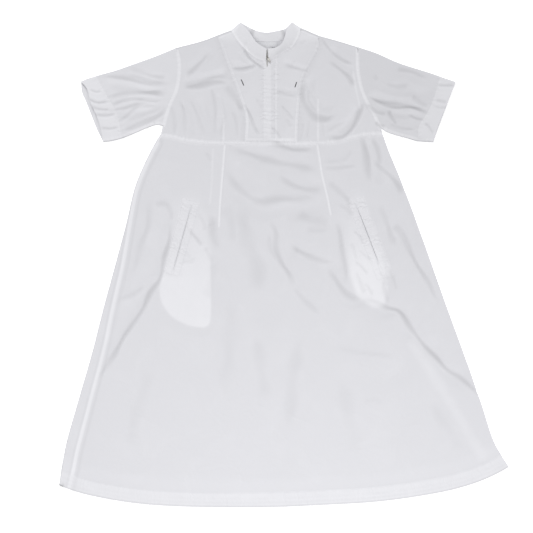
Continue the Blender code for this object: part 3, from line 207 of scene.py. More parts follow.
# Folds: path in the photograph's pixels, height in mm (below zero is a trough), and how
# far it reaches on the left and on the right of its path, in mm
folds = {
    "skirt": (
        # broad soft forms
        (((292, 247), (312, 257), (330, 273), (345, 292), (360, 300), (375, 304)), 4.0, 34, 26),
        (((368, 312), (395, 311), (410, 330), (430, 352), (450, 372), (472, 388)), 5.5, 40, 26),
        (((430, 350), (442, 357), (460, 372)), 2.5, 30, 30),
        (((166, 205), (160, 235), (156, 262), (146, 285), (128, 318), (110, 350)), 4.5, 30, 34),
        (((230, 148), (262, 156), (290, 162), (320, 170)), 3.0, 20, 26),
        (((243, 206), (246, 232), (256, 262), (263, 296)), -1.5, 18, 24),
        (((284, 212), (290, 236), (296, 258)), 3.4, 14, 18),
        (((298, 212), (312, 221), (330, 224)), -1.5, 14, 16),
        (((226, 206), (233, 222), (232, 244)), -1.2, 12, 16),
        (((236, 160), (244, 176), (256, 190)), 2.6, 14, 14),
        (((266, 140), (292, 145), (316, 149)), 2.5, 12, 12),
        (((226, 178), (240, 196), (262, 210), (300, 210), (328, 206)), 3.5, 30, 26),
        (((280, 178), (304, 184), (324, 188)), 2.5, 18, 18),
        (((268, 222), (282, 250), (290, 270), (300, 292)), 3.0, 24, 24),
        (((370, 138), (374, 165), (382, 184)), 3.5, 22, 18),
        (((384, 170), (398, 200), (410, 230), (418, 250)), 3.5, 24, 24),
        (((330, 215), (336, 240), (340, 275)), 2.5, 18, 18),
        (((252, 250), (258, 290), (266, 330)), 2.0, 44, 44),
        (((300, 330), (288, 400), (276, 480)), 2.5, 44, 60),
        (((252, 335), (258, 370), (262, 420)), 1.6, 36, 36),
        (((200, 345), (192, 400), (186, 455)), 2.0, 50, 50),
        (((384, 360), (394, 405), (398, 450)), 2.0, 50, 50),
        # sharp creases
        (((328, 270), (336, 280), (346, 292), (356, 299), (362, 302)), -2.6, 7, 9),
        (((362, 302), (374, 302), (386, 307), (397, 311), (410, 327), (430, 351), (450, 371),
          (474, 389), (488, 402)), -4.4, 7, 9),
        (((290, 245), (300, 252), (312, 258), (322, 262), (333, 263)), -2.6, 6, 8),
        (((314, 259), (320, 254), (326, 254)), 1.4, 5, 5),
        (((172, 221), (168, 245), (163, 268), (158, 282), (148, 298), (140, 314), (121, 344),
          (103, 372), (98, 384)), -3.8, 9, 7),
        (((155, 204), (165, 204), (171, 211), (173, 222)), -2.0, 6, 7),
        (((228, 171), (236, 185), (248, 196), (260, 201), (284, 200), (316, 198)), -2.6, 9, 11),
        (((226, 148), (245, 153), (262, 160), (290, 165), (318, 173)), -2.2, 8, 9),
        (((270, 144), (290, 149), (312, 152)), -2.6, 6, 7),
        (((278, 177), (295, 186), (322, 194)), -2.0, 8, 9),
        (((324, 169), (340, 168), (357, 168)), -1.4, 5, 6),
        (((325, 161), (344, 160), (352, 150)), -1.2, 5, 6),
        (((327, 182), (338, 191), (347, 199), (351, 209)), -2.6, 7, 8),
        (((336, 221), (341, 238), (345, 262), (346, 284)), -2.4, 6, 7),
        (((268, 222), (276, 234), (277, 250), (281, 263), (289, 276), (293, 288)), -2.8, 8, 8),
        (((269, 236), (272, 250), (278, 262)), -1.6, 6, 6),
        (((293, 288), (304, 299), (318, 316)), -1.4, 7, 7),
        (((245, 222), (253, 246), (261, 268), (268, 288)), -1.2, 12, 12),
        (((212, 215), (213, 235), (220, 252)), -1.8, 10, 10),
        (((208, 226), (216, 226)), -1.6, 5, 5),
        (((189, 231), (196, 237), (204, 246)), -2.6, 4, 6),
        (((206, 247), (209, 255), (212, 264)), -1.6, 5, 6),
        (((180, 266), (188, 262), (196, 263)), -1.2, 4, 5),
        (((186, 252), (192, 258), (199, 261)), -1.2, 4, 4),
        (((198, 214), (203, 222), (205, 232)), -1.4, 5, 5),
        (((356, 262), (362, 268), (368, 276)), -1.8, 4, 4),
        (((359, 252), (366, 257), (373, 263)), -1.6, 4, 4),
        (((350, 244), (355, 252), (358, 262)), -1.5, 4, 5),
        (((353, 232), (359, 238), (363, 246)), -1.5, 4, 4),
        (((364, 284), (369, 290), (374, 297)), -1.6, 4, 4),
        (((378, 272), (384, 279), (388, 288)), -2.0, 5, 4),
        (((388, 268), (394, 278), (398, 290)), -1.5, 5, 5),
        (((340, 205), (348, 209), (355, 216)), -1.8, 5, 6),
        (((306, 231), (318, 232), (328, 230)), -1.2, 9, 9),
        (((206, 153), (213, 163)), -1.4, 6, 6),
        (((364, 138), (367, 158), (372, 184)), -3.6, 7, 15),
        (((373, 139), (378, 152), (382, 165)), -2.6, 6, 6),
        (((374, 160), (384, 170), (394, 181), (403, 195)), -3.0, 8, 8),
        (((382, 205), (387, 225), (397, 248)), -2.0, 7, 8),
        (((393, 225), (402, 237), (410, 250)), -2.2, 7, 7),
        (((397, 226), (408, 245), (418, 266), (428, 283), (440, 302)), -3.4, 7, 9),
        (((392, 232), (403, 252), (414, 275)), 2.4, 10, 8),
        (((384, 280), (386, 292), (388, 303)), -1.8, 5, 6),
        (((356, 272), (361, 286), (366, 296)), -1.4, 5, 5),
        (((152, 200), (148, 225), (140, 252), (132, 276)), -1.6, 8, 8),
        (((146, 287), (134, 296), (120, 300)), -1.4, 7, 7),
        (((335, 346), (362, 354), (396, 356)), -1.0, 6, 7),
        (((362, 405), (372, 400), (383, 403)), -0.9, 5, 5),
        (((255, 335), (262, 370), (265, 402)), -1.0, 14, 14),
        (((301, 335), (295, 370), (290, 430)), -1.1, 14, 18),
        (((213, 262), (211, 285), (209, 300)), -0.9, 12, 12),
        (((232, 300), (230, 345), (224, 400)), -0.8, 18, 18),
        (((340, 380), (350, 420), (356, 455)), -0.8, 18, 18),
        (((150, 370), (138, 410), (128, 450)), -0.8, 16, 16),
        (((430, 402), (446, 425), (462, 452)), -0.9, 12, 12),
    ),
    "bodice": (
        (((182, 82), (204, 78), (229, 74)), 4.4, 18, 12),
        (((186, 72), (198, 62), (212, 48)), 2.2, 16, 16),
        (((181, 100), (188, 116), (196, 136)), 2.2, 8, 9),
        (((196, 96), (206, 114), (213, 137)), 2.4, 12, 10),
        (((219, 92), (222, 112), (222, 136)), 2.4, 9, 9),
        (((236, 96), (240, 118), (242, 136)), 1.6, 8, 8),
        (((184, 88), (200, 86), (214, 84), (228, 84)), -3.0, 8, 11),
        (((185, 78), (197, 66), (209, 53)), -1.8, 7, 8),
        (((181, 100), (184, 118), (187, 137)), -1.4, 5, 6),
        (((171, 106), (174, 122), (176, 137)), -1.4, 6, 6),
        (((189, 100), (199, 118), (206, 138)), -1.3, 6, 6),
        (((212, 88), (215, 108), (217, 137)), -1.6, 5, 6),
        (((226, 86), (236, 98), (243, 113)), -2.6, 9, 12),
        (((224, 116), (223, 128), (222, 139)), -1.1, 4, 5),
        (((232, 112), (236, 125), (239, 139)), -1.3, 5, 5),
        (((306, 78), (312, 92), (320, 104), (332, 112)), 3.4, 18, 12),
        (((356, 106), (349, 122), (338, 132)), 3.2, 16, 16),
        (((330, 48), (342, 62), (354, 74)), 2.6, 14, 14),
        (((303, 84), (304, 97), (307, 108), (313, 116), (321, 120), (330, 120), (336, 116)),
         -3.4, 10, 13),
        (((309, 90), (310, 104), (316, 114)), -1.4, 5, 5),
        (((323, 40), (332, 54), (342, 60), (353, 65)), -3.0, 6, 6),
        (((328, 62), (339, 69), (349, 79), (355, 89)), -3.0, 6, 7),
        (((365, 104), (358, 117), (352, 130), (344, 137), (328, 140)), -3.6, 7, 8),
        (((346, 122), (336, 128), (326, 134)), -1.2, 6, 6),
        (((366, 108), (371, 113), (375, 118)), -1.6, 6, 6),
        (((309, 120), (309, 130), (308, 139)), -1.0, 4, 4),
        (((303, 122), (303, 131), (302, 139)), -0.9, 4, 4),
        (((324, 122), (324, 131), (323, 139)), -0.9, 4, 4),
        (((300, 44), (306, 40)), -0.8, 5, 5),
    ),
    "bib": (
        (((232, 66), (244, 66), (256, 62)), 2.0, 12, 8),
        (((282, 62), (296, 66), (306, 72)), 2.0, 12, 8),
        (((276, 88), (288, 90), (300, 92)), 1.6, 10, 9),
        (((231, 70), (243, 69), (257, 65)), -2.0, 5, 7),
        (((243, 47), (247, 53), (251, 59), (257, 65), (265, 72)), -3.4, 4, 5),
        (((239, 52), (246, 61), (255, 68)), 1.6, 6, 7),
        (((244, 104), (249, 114), (255, 126), (260, 136)), -3.2, 5, 6),
        (((272, 128), (277, 134), (282, 141)), -2.2, 4, 5),
        (((280, 106), (286, 112), (293, 121)), -1.8, 4, 5),
        (((276, 92), (288, 95), (299, 97)), -1.6, 7, 8),
        (((284, 67), (298, 69), (307, 73)), -1.4, 5, 7),
        (((256, 100), (262, 110)), -0.9, 4, 4),
        (((286, 120), (292, 128)), -0.9, 5, 5),
    ),
    "sleeveLeft": (
        (((126, 73), (148, 77), (166, 81)), 2.4, 12, 10),
        (((108, 84), (136, 88), (168, 91)), 3.2, 16, 14),
        (((112, 101), (136, 97), (164, 100)), 2.4, 8, 9),
        (((116, 108), (142, 104), (162, 105)), 2.2, 9, 12),
        (((122, 116), (142, 113), (164, 101)), 2.4, 12, 12),
        (((128, 71), (146, 74), (166, 80)), -1.8, 7, 7),
        (((102, 76), (130, 80), (152, 84), (170, 86)), -2.4, 6, 7),
        (((108, 98), (128, 95), (144, 93), (160, 94), (166, 97)), -2.4, 6, 7),
        (((112, 105), (130, 102), (145, 100)), -1.4, 5, 5),
        (((88, 100), (97, 103), (110, 101)), -3.2, 5, 5),
        (((90, 108), (99, 110), (110, 109)), -2.6, 4, 5),
        (((95, 116), (104, 116), (116, 113)), -2.4, 4, 5),
        (((91, 90), (97, 92), (103, 91)), -1.6, 4, 4),
        (((154, 122), (159, 126), (163, 128)), -2.8, 4, 4),
        (((101, 114), (113, 110), (126, 109), (144, 102)), -1.4, 5, 5),
        (((119, 121), (128, 116), (138, 107), (146, 102)), -1.8, 6, 6),
        (((124, 131), (138, 127), (152, 120), (161, 113), (166, 108)), -2.4, 7, 8),
        (((101, 129), (109, 129), (119, 127)), -2.6, 4, 5),
    ),
    "sleeveRight": (
        (((368, 96), (396, 102), (424, 108)), 4.0, 18, 10),
        (((376, 104), (396, 113), (420, 117)), 2.6, 9, 12),
        (((378, 88), (404, 90), (432, 96)), 2.0, 20, 20),
        (((370, 98), (380, 103), (395, 107), (412, 109), (430, 115)), -3.2, 5, 6),
        (((388, 110), (392, 117), (398, 124)), -1.8, 6, 6),
        (((408, 116), (415, 120), (423, 122)), -1.6, 5, 5),
        (((424, 124), (430, 129), (434, 134)), -1.8, 5, 5),
        (((366, 105), (374, 112), (386, 115)), -2.4, 6, 7),
        (((386, 84), (396, 88), (410, 88)), -1.2, 8, 8),
        (((396, 70), (410, 73), (426, 78)), -1.4, 7, 7),
        (((374, 80), (377, 76)), -1.0, 7, 7),
        (((412, 98), (422, 104), (429, 107)), -1.4, 7, 8),
        (((390, 124), (404, 129), (416, 131)), -1.2, 5, 5),
        (((436, 100), (446, 104)), -1.6, 5, 5),
        (((438, 86), (446, 87), (455, 87)), -1.5, 4, 5),
        (((433, 106), (440, 108), (448, 108)), -1.4, 4, 4),
        (((376, 123), (380, 127), (386, 127)), -2.8, 4, 4),
    ),
}


# How much of each table's ridges and creases is used, and of a soft one's reach
foldScale = {
    "skirt": (0.55, 0.74, 1.35),
    "bodice": (0.65, 0.78, 1.1),
    "bib": (0.65, 0.80, 1.1),
    "sleeveLeft": (0.80, 0.95, 1.15),
    "sleeveRight": (0.80, 1.15, 1.15),
}

# Share of the dense tone where the cloth lies double or more
plyTone = {
    "hem": 0.25, "waist": 0.42, "side": 0.40, "flap": 0.06, "facing": 0.22, "armhole": 0.40,
    "bib": 0.06, "cuff": 0.30, "underSleeve": 0.40, "collar": 0.30, "collarBack": 0.30,
    "back": 0.10,
}


def fromPhoto(points):
    scale = photo["millimetresPerPixel"]
    ox, oy = photo["originPixel"]
    return np.array([((px - ox) * scale, (oy - py) * scale) for px, py in points], float)


# Lines and patches

def smoothLine(points, steps=10):
    points = np.array(points, float)
    if len(points) == 2:
        return points
    run = np.diff(points, axis=0)
    gaps = np.linalg.norm(run, axis=1)
    slopes = run / gaps[:, None]
    tangents = np.empty_like(points)
    tangents[0] = slopes[0]
    tangents[-1] = slopes[-1]
    both = (gaps[:-1] + gaps[1:])[:, None]
    tangents[1:-1] = slopes[:-1] * gaps[1:, None] / both + slopes[1:] * gaps[:-1, None] / both
    t = (np.arange(1, steps + 1) / steps)[:, None]
    parts = [points[:1]]
    for i, gap in enumerate(gaps):
        parts.append(
            points[i] * (2 * t ** 3 - 3 * t ** 2 + 1) + tangents[i] * gap * (t ** 3 - 2 * t ** 2 + t)
            + points[i + 1] * (3 * t ** 2 - 2 * t ** 3) + tangents[i + 1] * gap * (t ** 3 - t ** 2))
    return np.vstack(parts)


def walked(line):
    return np.concatenate([[0.0], np.cumsum(np.linalg.norm(np.diff(line, axis=0), axis=1))])


def lengthOf(line):
    return walked(line)[-1]


def atLengths(line, lengths):
    along = walked(line)
    return np.stack([np.interp(lengths, along, line[:, k]) for k in range(line.shape[1])], axis=1)


def spans(points, count):
    line = smoothLine(points)
    return atLengths(line, np.linspace(0.0, lengthOf(line), count + 1))


def joinLines(*lines):
    return np.vstack([lines[0]] + [line[1:] for line in lines[1:]])


def shares(edge):
    along = walked(edge)
    return along / along[-1]


def patch(bottom, top, left, right):
    u = ((shares(bottom) + shares(top)) / 2)[None, :, None]
    v = ((shares(left) + shares(right)) / 2)[:, None, None]
    ruled = bottom[None] * (1 - v) + top[None] * v + left[:, None] * (1 - u) + right[:, None] * u
    corners = (bottom[0] * (1 - u) * (1 - v) + bottom[-1] * u * (1 - v)
               + top[0] * (1 - u) * v + top[-1] * u * v)
    return ruled - corners


def unit(v):
    return v / np.maximum(np.linalg.norm(v, axis=-1, keepdims=True), 1e-9)


def drawIn(plan, inset):
    # moves the first and the last column inwards
    inner = plan.copy()
    inner[:, 0] += unit(inner[:, 1] - inner[:, 0]) * inset
    inner[:, -1] += unit(inner[:, -2] - inner[:, -1]) * inset
    return inner


def leftNormals(edge):
    run = np.empty_like(edge)
    run[1:-1] = edge[2:] - edge[:-2]
    run[0] = edge[1] - edge[0]
    run[-1] = edge[-1] - edge[-2]
    return unit(np.stack([-run[:, 1], run[:, 0]], axis=1))


def ease(value):
    value = np.clip(value, 0.0, 1.0)
    return value * value * (3 - 2 * value)


def nearestOn(path, x, y):
    # distance to a path, 1 on its left side and -1 on its right, and the share walked
    best = np.full(x.shape, 1e9)
    side = np.zeros(x.shape)
    along = np.zeros(x.shape)
    lengths = walked(path)
    for a, b, start in zip(path[:-1], path[1:], lengths[:-1]):
        run = b - a
        px = x - a[0]
        py = y - a[1]
        t = np.clip((px * run[0] + py * run[1]) / (run @ run), 0.0, 1.0)
        dx = px - run[0] * t
        dy = py - run[1] * t
        distance = np.hypot(dx, dy)
        closer = distance < best
        best = np.where(closer, distance, best)
        side = np.where(closer, np.sign(run[0] * dy - run[1] * dx), side)
        along = np.where(closer, (start + np.linalg.norm(run) * t) / lengths[-1], along)
    return best, side, along


def foldTable(rows, scale):
    table = []
    for points, height, left, right in rows:
        path = smoothLine(fromPhoto(points), 5)
        if abs(height) < 3:
            left, right = left * scale[2], right * scale[2]
        reach = 1.25 * max(left, right)
        factor = scale[0] if height > 0 else scale[1]
        table.append((path, height * factor, left, right, path.min(0) - reach, path.max(0) + reach))
    return table


foldTables = {name: foldTable(rows, foldScale[name]) for name, rows in folds.items()}


def foldSum(x, y):
    # height that the folds add, and how deep a crease lies there, for its shade
    ridge = np.zeros(x.shape)
    crease = np.zeros(x.shape)
    shade = np.zeros(x.shape)
    # every fold wanders a little, and swells and thins on its way
    x, y = (x + 2.0 * np.sin(y / 15 + 1.3 * np.sin(x / 23)),
            y + 2.0 * np.sin(x / 17 + 1.1 * np.sin(y / 29)))
    for table in foldTables.values():
        for path, height, left, right, low, high in table:
            near = (x > low[0]) & (x < high[0]) & (y > low[1]) & (y < high[1])
            if not near.any():
                continue
            distance, side, along = nearestOn(path, x[near], y[near])
            turn = lengthOf(path) * along / 14 + path[0, 0]
            reach = np.where(side > 0, left, right) * (1 + 0.22 * np.sin(turn))
            profile = np.cos(np.pi / 2 * np.minimum(distance / reach, 1)) ** 2
            added = height * profile * ease(np.minimum(along, 1 - along) / 0.22 + 0.12)
            added *= 1 + 0.24 * np.sin(turn * 0.7 + 1.9)
            if height > 0:
                ridge[near] = np.maximum(ridge[near], added)
            else:
                crease[near] += added
                shade[near] = np.maximum(shade[near], -added / 2.0)
    deepest = cloth["deepestCrease"]
    return ridge, deepest * np.tanh(crease / deepest), shade


def insideOutline(points, x, y):
    crossed = np.zeros(x.shape, bool)
    for a, b in zip(points, np.roll(points, -1, axis=0)):
        spansY = (a[1] > y) != (b[1] > y)
        if a[1] != b[1]:
            crossed ^= spansY & (x < a[0] + (b[0] - a[0]) * (y - a[1]) / (b[1] - a[1]))
    return crossed


def closedSmooth(points):
    # rounds the corners of a closed outline a little
    points = np.array(points, float)
    for share in (0.2, 0.25):
        beside = [np.roll(points, shift, axis=0) for shift in (1, -1)]
        cut = [points * (1 - share) + other * share for other in beside]
        points = np.stack(cut, axis=1).reshape(-1, 2)
    return points


for pocket in pockets.values():
    pocket["bagLine"] = closedSmooth(pocket["bag"])


def outlineDistance(points, x, y):
    # distance outside an outline, below zero inside it
    distance, _, _ = nearestOn(np.vstack([points, points[:1]]), x, y)
    return np.where(insideOutline(points, x, y), -distance, distance)


def ridgeAt(distance, half, soft):
    return ease((half + soft / 2 - np.abs(distance)) / soft)


def waves(along, pitch, phase=0.0):
    # uneven gathers along a seam, from -1 to 1
    turn = 2 * np.pi * along / pitch + phase
    return 0.6 * np.sin(turn + 0.9 * np.sin(turn * 0.37)) + 0.4 * np.sin(turn * 0.61 + 1.3)


# Seams and other lines where the cloth is doubled

waistLine = joinLines(smoothLine(outline["waistLeft"]), smoothLine(outline["waistBib"]),
                      smoothLine(outline["waistRight"]))
hemLine = smoothLine(outline["hem"])
seamLines = {
    "dartLeft": fromPhoto(((225, 143), (222, 180), (220, 205), (219, 228))),
    "dartRight": fromPhoto(((317, 143), (322, 175), (328, 200), (331, 216))),
    "backDart": fromPhoto(((213, 150), (212, 180), (210, 205))),
    "bodiceDartLeft": fromPhoto(((223.5, 116), (223.5, 141))),
    "bodiceDartRight": fromPhoto(((318, 100), (318, 141))),
    "allowanceRight": fromPhoto(((353, 72), (356, 90), (360, 108))),
    "rightTurn": fromPhoto(((412, 342), (433, 375), (450, 402), (468, 432), (482, 456))),
    "placketLeft": np.array([(zipper["x"] - 8.5, 283.0), (zipper["x"] - 8.5, 462.0)]),
    "placketRight": np.array([(zipper["x"] + 16.5, 283.0), (zipper["x"] + 18.5, 470.0)]),
    "waist": waistLine,
}
for side, ends in (("Left", ("underHem", "under")), ("Right", ("under", "underHem"))):
    for key in ("armhole" + side, "bibEdge" + side, "neck" + side):
        seamLines[key] = smoothLine(outline[key])
    shape = sleeves[side.lower()]
    seamLines["sleeveHem" + side] = smoothLine(shape["hemLine"])
    seamLines["under" + side] = joinLines(*(smoothLine(shape[end]) for end in ends))

# How a seam puckers the cloth beside it: strength, reach in mm
puckers = {
    "waist": (0.7, 9), "armholeLeft": (0.5, 8), "armholeRight": (0.5, 8),
    "bibEdgeLeft": (0.6, 11), "bibEdgeRight": (0.6, 11), "neckLeft": (0.7, 14),
    "neckRight": (0.7, 14), "placketLeft": (0.9, 15), "placketRight": (1.0, 18),
    "sleeveHemLeft": (0.7, 12), "sleeveHemRight": (0.7, 12), "underLeft": (0.9, 12),
    "underRight": (0.9, 12), "dartLeft": (0.35, 7), "dartRight": (0.35, 7),
    "bodiceDartLeft": (0.5, 8), "bodiceDartRight": (0.5, 8),
}

# Strength of the puckers all over a pocket's facing and the hem
plainPuckers = {"pocket": 0.85, "hem": 0.38}

# Gathers beside a seam: pitch, height, reach in mm
gathers = {
    "waist": (12.0, 0.28, 26), "bibEdgeLeft": (14.0, 0.22, 20), "bibEdgeRight": (14.0, 0.22, 20),
    "armholeLeft": (15.0, 0.2, 18), "armholeRight": (15.0, 0.2, 18),
}

# Heights of the uneven crumples all over the front, in mm
crumples = {"fine": 0.14, "broad": 0.30, "streaks": 0.26}


def fromSeam(name, x, y):
    return nearestOn(seamLines[name], x, y)[0]


def slitFrame(pocket):
    # a slit's lower end, the directions up along it and across it, and its length
    top, bottom = (np.array(end, float) for end in pocket["slit"])
    along = unit(top - bottom)
    return bottom, along, np.array([along[1], -along[0]]), np.linalg.norm(top - bottom)


def slitPlace(pocket, x, y):
    # place beside a pocket's slit: across it to the right, and up from its lower end
    bottom, along, across, length = slitFrame(pocket)
    px = x - bottom[0]
    py = y - bottom[1]
    return px * across[0] + py * across[1], px * along[0] + py * along[1], length


def facingMask(pocket, x, y, soft=3.0):
    across, up, length = slitPlace(pocket, x, y)
    left, right = pocket["facing"]
    above, below = pocket["ends"]
    return (ease((across + left) / soft + 0.5) * ease((right - across) / soft + 0.5)
            * ease((up + below) / soft + 0.5) * ease((length + above - up) / soft + 0.5))


def puckerField(x, y):
    # strength of the puckers and the place along their seam, in mm
    # where two seams are as strong the puckers die out, so that they never meet in a step
    strength = np.zeros(x.shape)
    second = np.zeros(x.shape)
    run = np.zeros(x.shape)

    def lay(value, place):
        nonlocal strength, second, run
        second = np.maximum(second, np.minimum(strength, value))
        stronger = value > strength
        strength = np.where(stronger, value, strength)
        run = np.where(stronger, place, run)

    for name, (amount, reach) in puckers.items():
        path = seamLines[name]
        low, high = path.min(0) - reach, path.max(0) + reach
        near = (x > low[0]) & (x < high[0]) & (y > low[1]) & (y < high[1])
        if not near.any():
            continue
        value, place = np.zeros(x.shape), np.zeros(x.shape)
        distance, side, along = nearestOn(path, x[near], y[near])
        value[near] = amount * ease(1.1 * (1 - distance / reach))
        place[near] = along * lengthOf(path) + side * distance * 0.18
        lay(value, place)
    for pocket in pockets.values():
        across, up, length = slitPlace(pocket, x, y)
        calm = 0.25 + 0.75 * ease(np.abs(across) / 6)
        lay(plainPuckers["pocket"] * facingMask(pocket, x, y, 5.0) * calm, up + across * 0.25)
    distance, _, along = nearestOn(hemLine, x, y)
    inHem = ease((cloth["hemDepth"] + 5 - distance) / 8)
    lay(plainPuckers["hem"] * inHem, along * lengthOf(hemLine) + distance * 0.15)
    return strength * ease((strength - second) / 0.3), run


def gathered(name, x, y, pitch, amount, reach):
    path = seamLines[name]
    distance, _, along = nearestOn(path, x, y)
    return amount * waves(along * lengthOf(path), pitch) * ease(1 - distance / reach)


def frontForm(x, y):
    # folds and gathers of the whole front, so that pieces meet at their seams
    ridge, crease, shade = foldSum(x, y)
    form = ridge + crease
    for name, size in gathers.items():
        form += gathered(name, x, y, *size)
    upper = ease((y - 120) / 220)
    fine = np.sin(x / 11 + 1.7 * np.sin(y / 19)) * np.sin(y / 13 + 1.2 * np.sin(x / 17))
    broad = np.sin(x / 41 + 1.2 * np.sin(y / 53)) * np.sin(y / 57 + 0.8 * np.sin(x / 41))
    form += crumples["fine"] * fine * (0.25 + upper) + crumples["broad"] * broad * (0.3 + upper)
    lower = ease((y + 190) / 120) * ease((300 - y) / 60)
    streak = np.sin((x * 0.8 + y * 0.3) / 8.5 + 2.4 * np.sin(y / 41 + 0.7 * np.sin(x / 33)))
    broken = np.sin(x / 27 + 1.9 * np.sin(y / 31)) * np.sin(y / 24 + np.sin(x / 29))
    return form + crumples["streaks"] * streak * broken * lower, shade


def bagRise(x, y):
    rise = np.zeros(x.shape)
    for pocket in pockets.values():
        distance = outlineDistance(pocket["bagLine"], x, y)
        rise = np.maximum(rise, cloth["bagRise"] * ease(1 - distance / cloth["bagFade"]))
    return rise


def skirtForm(x, y):
    form, shade = frontForm(x, y)
    hemDistance, _, hemAlong = nearestOn(hemLine, x, y)
    hemWidth = lengthOf(hemLine)
    form += cloth["hemRise"] * ease(2 - hemDistance / cloth["hemDepth"])
    inHem = ease((cloth["hemDepth"] + 10 - hemDistance) / 14)
    form += 0.20 * waves(hemAlong * hemWidth, 17.0) * inHem
    shade = shade + 1.6 * ease((5.0 - hemDistance) / 5) + 0.5 * ridgeAt(hemDistance - 9, 0.8, 2.5)
    uneven = 0.5 + 0.5 * waves(hemAlong * hemWidth, 90.0)
    for place, half, depth in ((19, 0.8, 0.45), (27, 0.6, 0.35)):
        shade = shade + depth * ridgeAt(hemDistance - place, half, 3) * uneven
    # painted shade where the turned edge stands a little open at the hem's left corner
    cornerX, cornerY = outline["hem"][0]
    corner = np.hypot((x - cornerX - 4) / 2, y - cornerY + 1)
    shade = shade + 4.5 * ease(1.3 - corner / 4)
    form += bagRise(x, y)
    for pocket in pockets.values():
        # a crease never sinks into the bag
        distance = outlineDistance(np.array(pocket["bagSolid"], float), x, y)
        form = np.maximum(form, -0.3 - 3.0 * ease((distance - 2) / 10))
        across, up, length = slitPlace(pocket, x, y)
        form += 0.5 * facingMask(pocket, x, y, 8.0)
        lip = ease(1 - np.abs(across + 1.5) / 4) * ease(up / 12) * ease((length - up) / 12)
        form += 0.5 * lip
        # small drag lines beside the lower end of the slit
        below = ease((up + 30) / 30) * ease(1 - (up - 20) / 90) * ease(1 - np.abs(across - 18) / 40)
        form += 0.22 * np.sin((up * 0.9 - across * 0.35) / 7.0 + 0.8 * np.sin(across / 17)) * below
    for name in ("dartLeft", "dartRight"):
        distance, _, along = nearestOn(seamLines[name], x, y)
        form += ease((1 - along) / 0.2) * (0.22 * ridgeAt(distance - 2.5, 2.0, 3)
                                           - 0.30 * ridgeAt(distance, 0.4, 2.4))
    return form, shade


def skirtHeight(x, y):
    return cloth["frontLevel"] + skirtForm(x, y)[0]


def skirtPlies(x, y):
    hemDistance = nearestOn(hemLine, x, y)[0]
    plies = plyTone["hem"] * ease((cloth["hemDepth"] + 1.0 - hemDistance) / 2.0)
    plies = np.maximum(plies, plyTone["waist"] * ease((7.5 - fromSeam("waist", x, y)) / 2.5))
    for name, strength in (("dartLeft", 0.45), ("dartRight", 0.45), ("backDart", 0.18)):
        distance, _, along = nearestOn(seamLines[name], x, y)
        plies = np.maximum(plies, strength * ease((3.4 - distance) / 2.4) * ease((1 - along) / 0.02))
    for pocket in pockets.values():
        distance = outlineDistance(pocket["bagLine"], x, y)
        low, high = pocket["tone"]
        soft = pocket["soft"] + 26 * ease((y + 10) / 110)
        share = ease((pocket["toneTop"] - y) / pocket["toneRun"])
        plies = np.maximum(plies, (low + (high - low) * share) * ease(-distance / soft + 0.5))
        plies = np.maximum(plies, plyTone["facing"] * facingMask(pocket, x, y))
    return np.maximum(plies, 0.14 * ease((18 - fromSeam("rightTurn", x, y)) / 16))


def bodicePlies(x, y):
    plies = 0.22 * ease((4.0 - fromSeam("waist", x, y)) / 2)
    armhole = plyTone["armhole"]
    for name, strength, half, soft in (
            ("armholeLeft", armhole, 7.0, 2.5), ("armholeRight", armhole, 7.0, 2.5),
            ("bodiceDartLeft", 0.3, 3.6, 2.4), ("bodiceDartRight", 0.3, 3.6, 2.4),
            ("allowanceRight", 0.2, 3.6, 2.4)):
        plies = np.maximum(plies, strength * ease((half - fromSeam(name, x, y)) / soft))
    return plies


def bibHeight(x, y):
    # the bib lies over the side fronts and comes down to them at its sewn edges
    form, _ = bibForm(x, y)
    centre = ease((zipper["riseHalf"] - np.abs(x - zipper["x"])) / zipper["riseFade"])
    edge = np.full(x.shape, 1e9)
    for name in ("bibEdgeLeft", "bibEdgeRight", "waist"):
        edge = np.minimum(edge, fromSeam(name, x, y))
    for name in ("bibShoulderLeft", "bibShoulderRight"):
        distance = nearestOn(smoothLine(outline[name]), x, y)[0]
        edge = np.minimum(edge, np.maximum(distance - 4.8, 0))
    step = 0.25 + 0.75 * ease(edge / 4.5)
    return cloth["frontLevel"] + step + zipper["rise"] * centre * ease(edge / 14) + form


def bibForm(x, y):
    form, shade = frontForm(x, y)
    fromZip = x - zipper["x"]
    strength = 0.10 + 0.26 * ease((445 - y) / 60) * ease((y - 285) / 25)
    inPlacket = ease((19 - np.abs(fromZip - 4)) / 8)
    form += strength * waves(y + fromZip * 0.15 + 2 * np.sin(y / 23), 9.8) * inPlacket
    for offset in (-8.5, 17.5):
        form -= 0.18 * ridgeAt(fromZip - offset, 0.5, 2.4)
    form += 0.30 * ridgeAt(fromZip - 20.5, 1.5, 4)
    form -= 0.25 * ridgeAt(fromZip, 0.3, 2.2)
    return form, shade


def bibPlies(x, y):
    lower = ease((420 - y) / 90)
    fromZip = x - zipper["x"]
    bands = [0.34 * ease((8.0 - fromSeam(name, x, y)) / 2.5) * (0.55 + 0.45 * lower)
             for name in ("bibEdgeLeft", "bibEdgeRight")]
    bands += [0.34 * ease((291 - y) / 3), 0.28 * ease((y - 500) / 25),
              0.30 * ridgeAt(fromZip - 20.5, 2.0, 3), 0.24 * ridgeAt(fromZip, 9, 4)]
    return np.maximum(plyTone["bib"], np.maximum.reduce(bands))


def sleeveForm(side, x, y):
    form, shade = frontForm(x, y)
    return form + gathered("sleeveHem" + side.capitalize(), x, y, 12.0, 0.22, 26), shade


print("tables ready")


# Cloth

def newObject(name, bm, material, smooth=True):
    mesh = bpy.data.meshes.new(name)
    bm.to_mesh(mesh)
    bm.free()
    mesh.materials.append(material)
    piece = bpy.data.objects.new(name, mesh)
    bpy.context.scene.collection.objects.link(piece)
    if smooth:
        mesh.shade_smooth()
    return piece


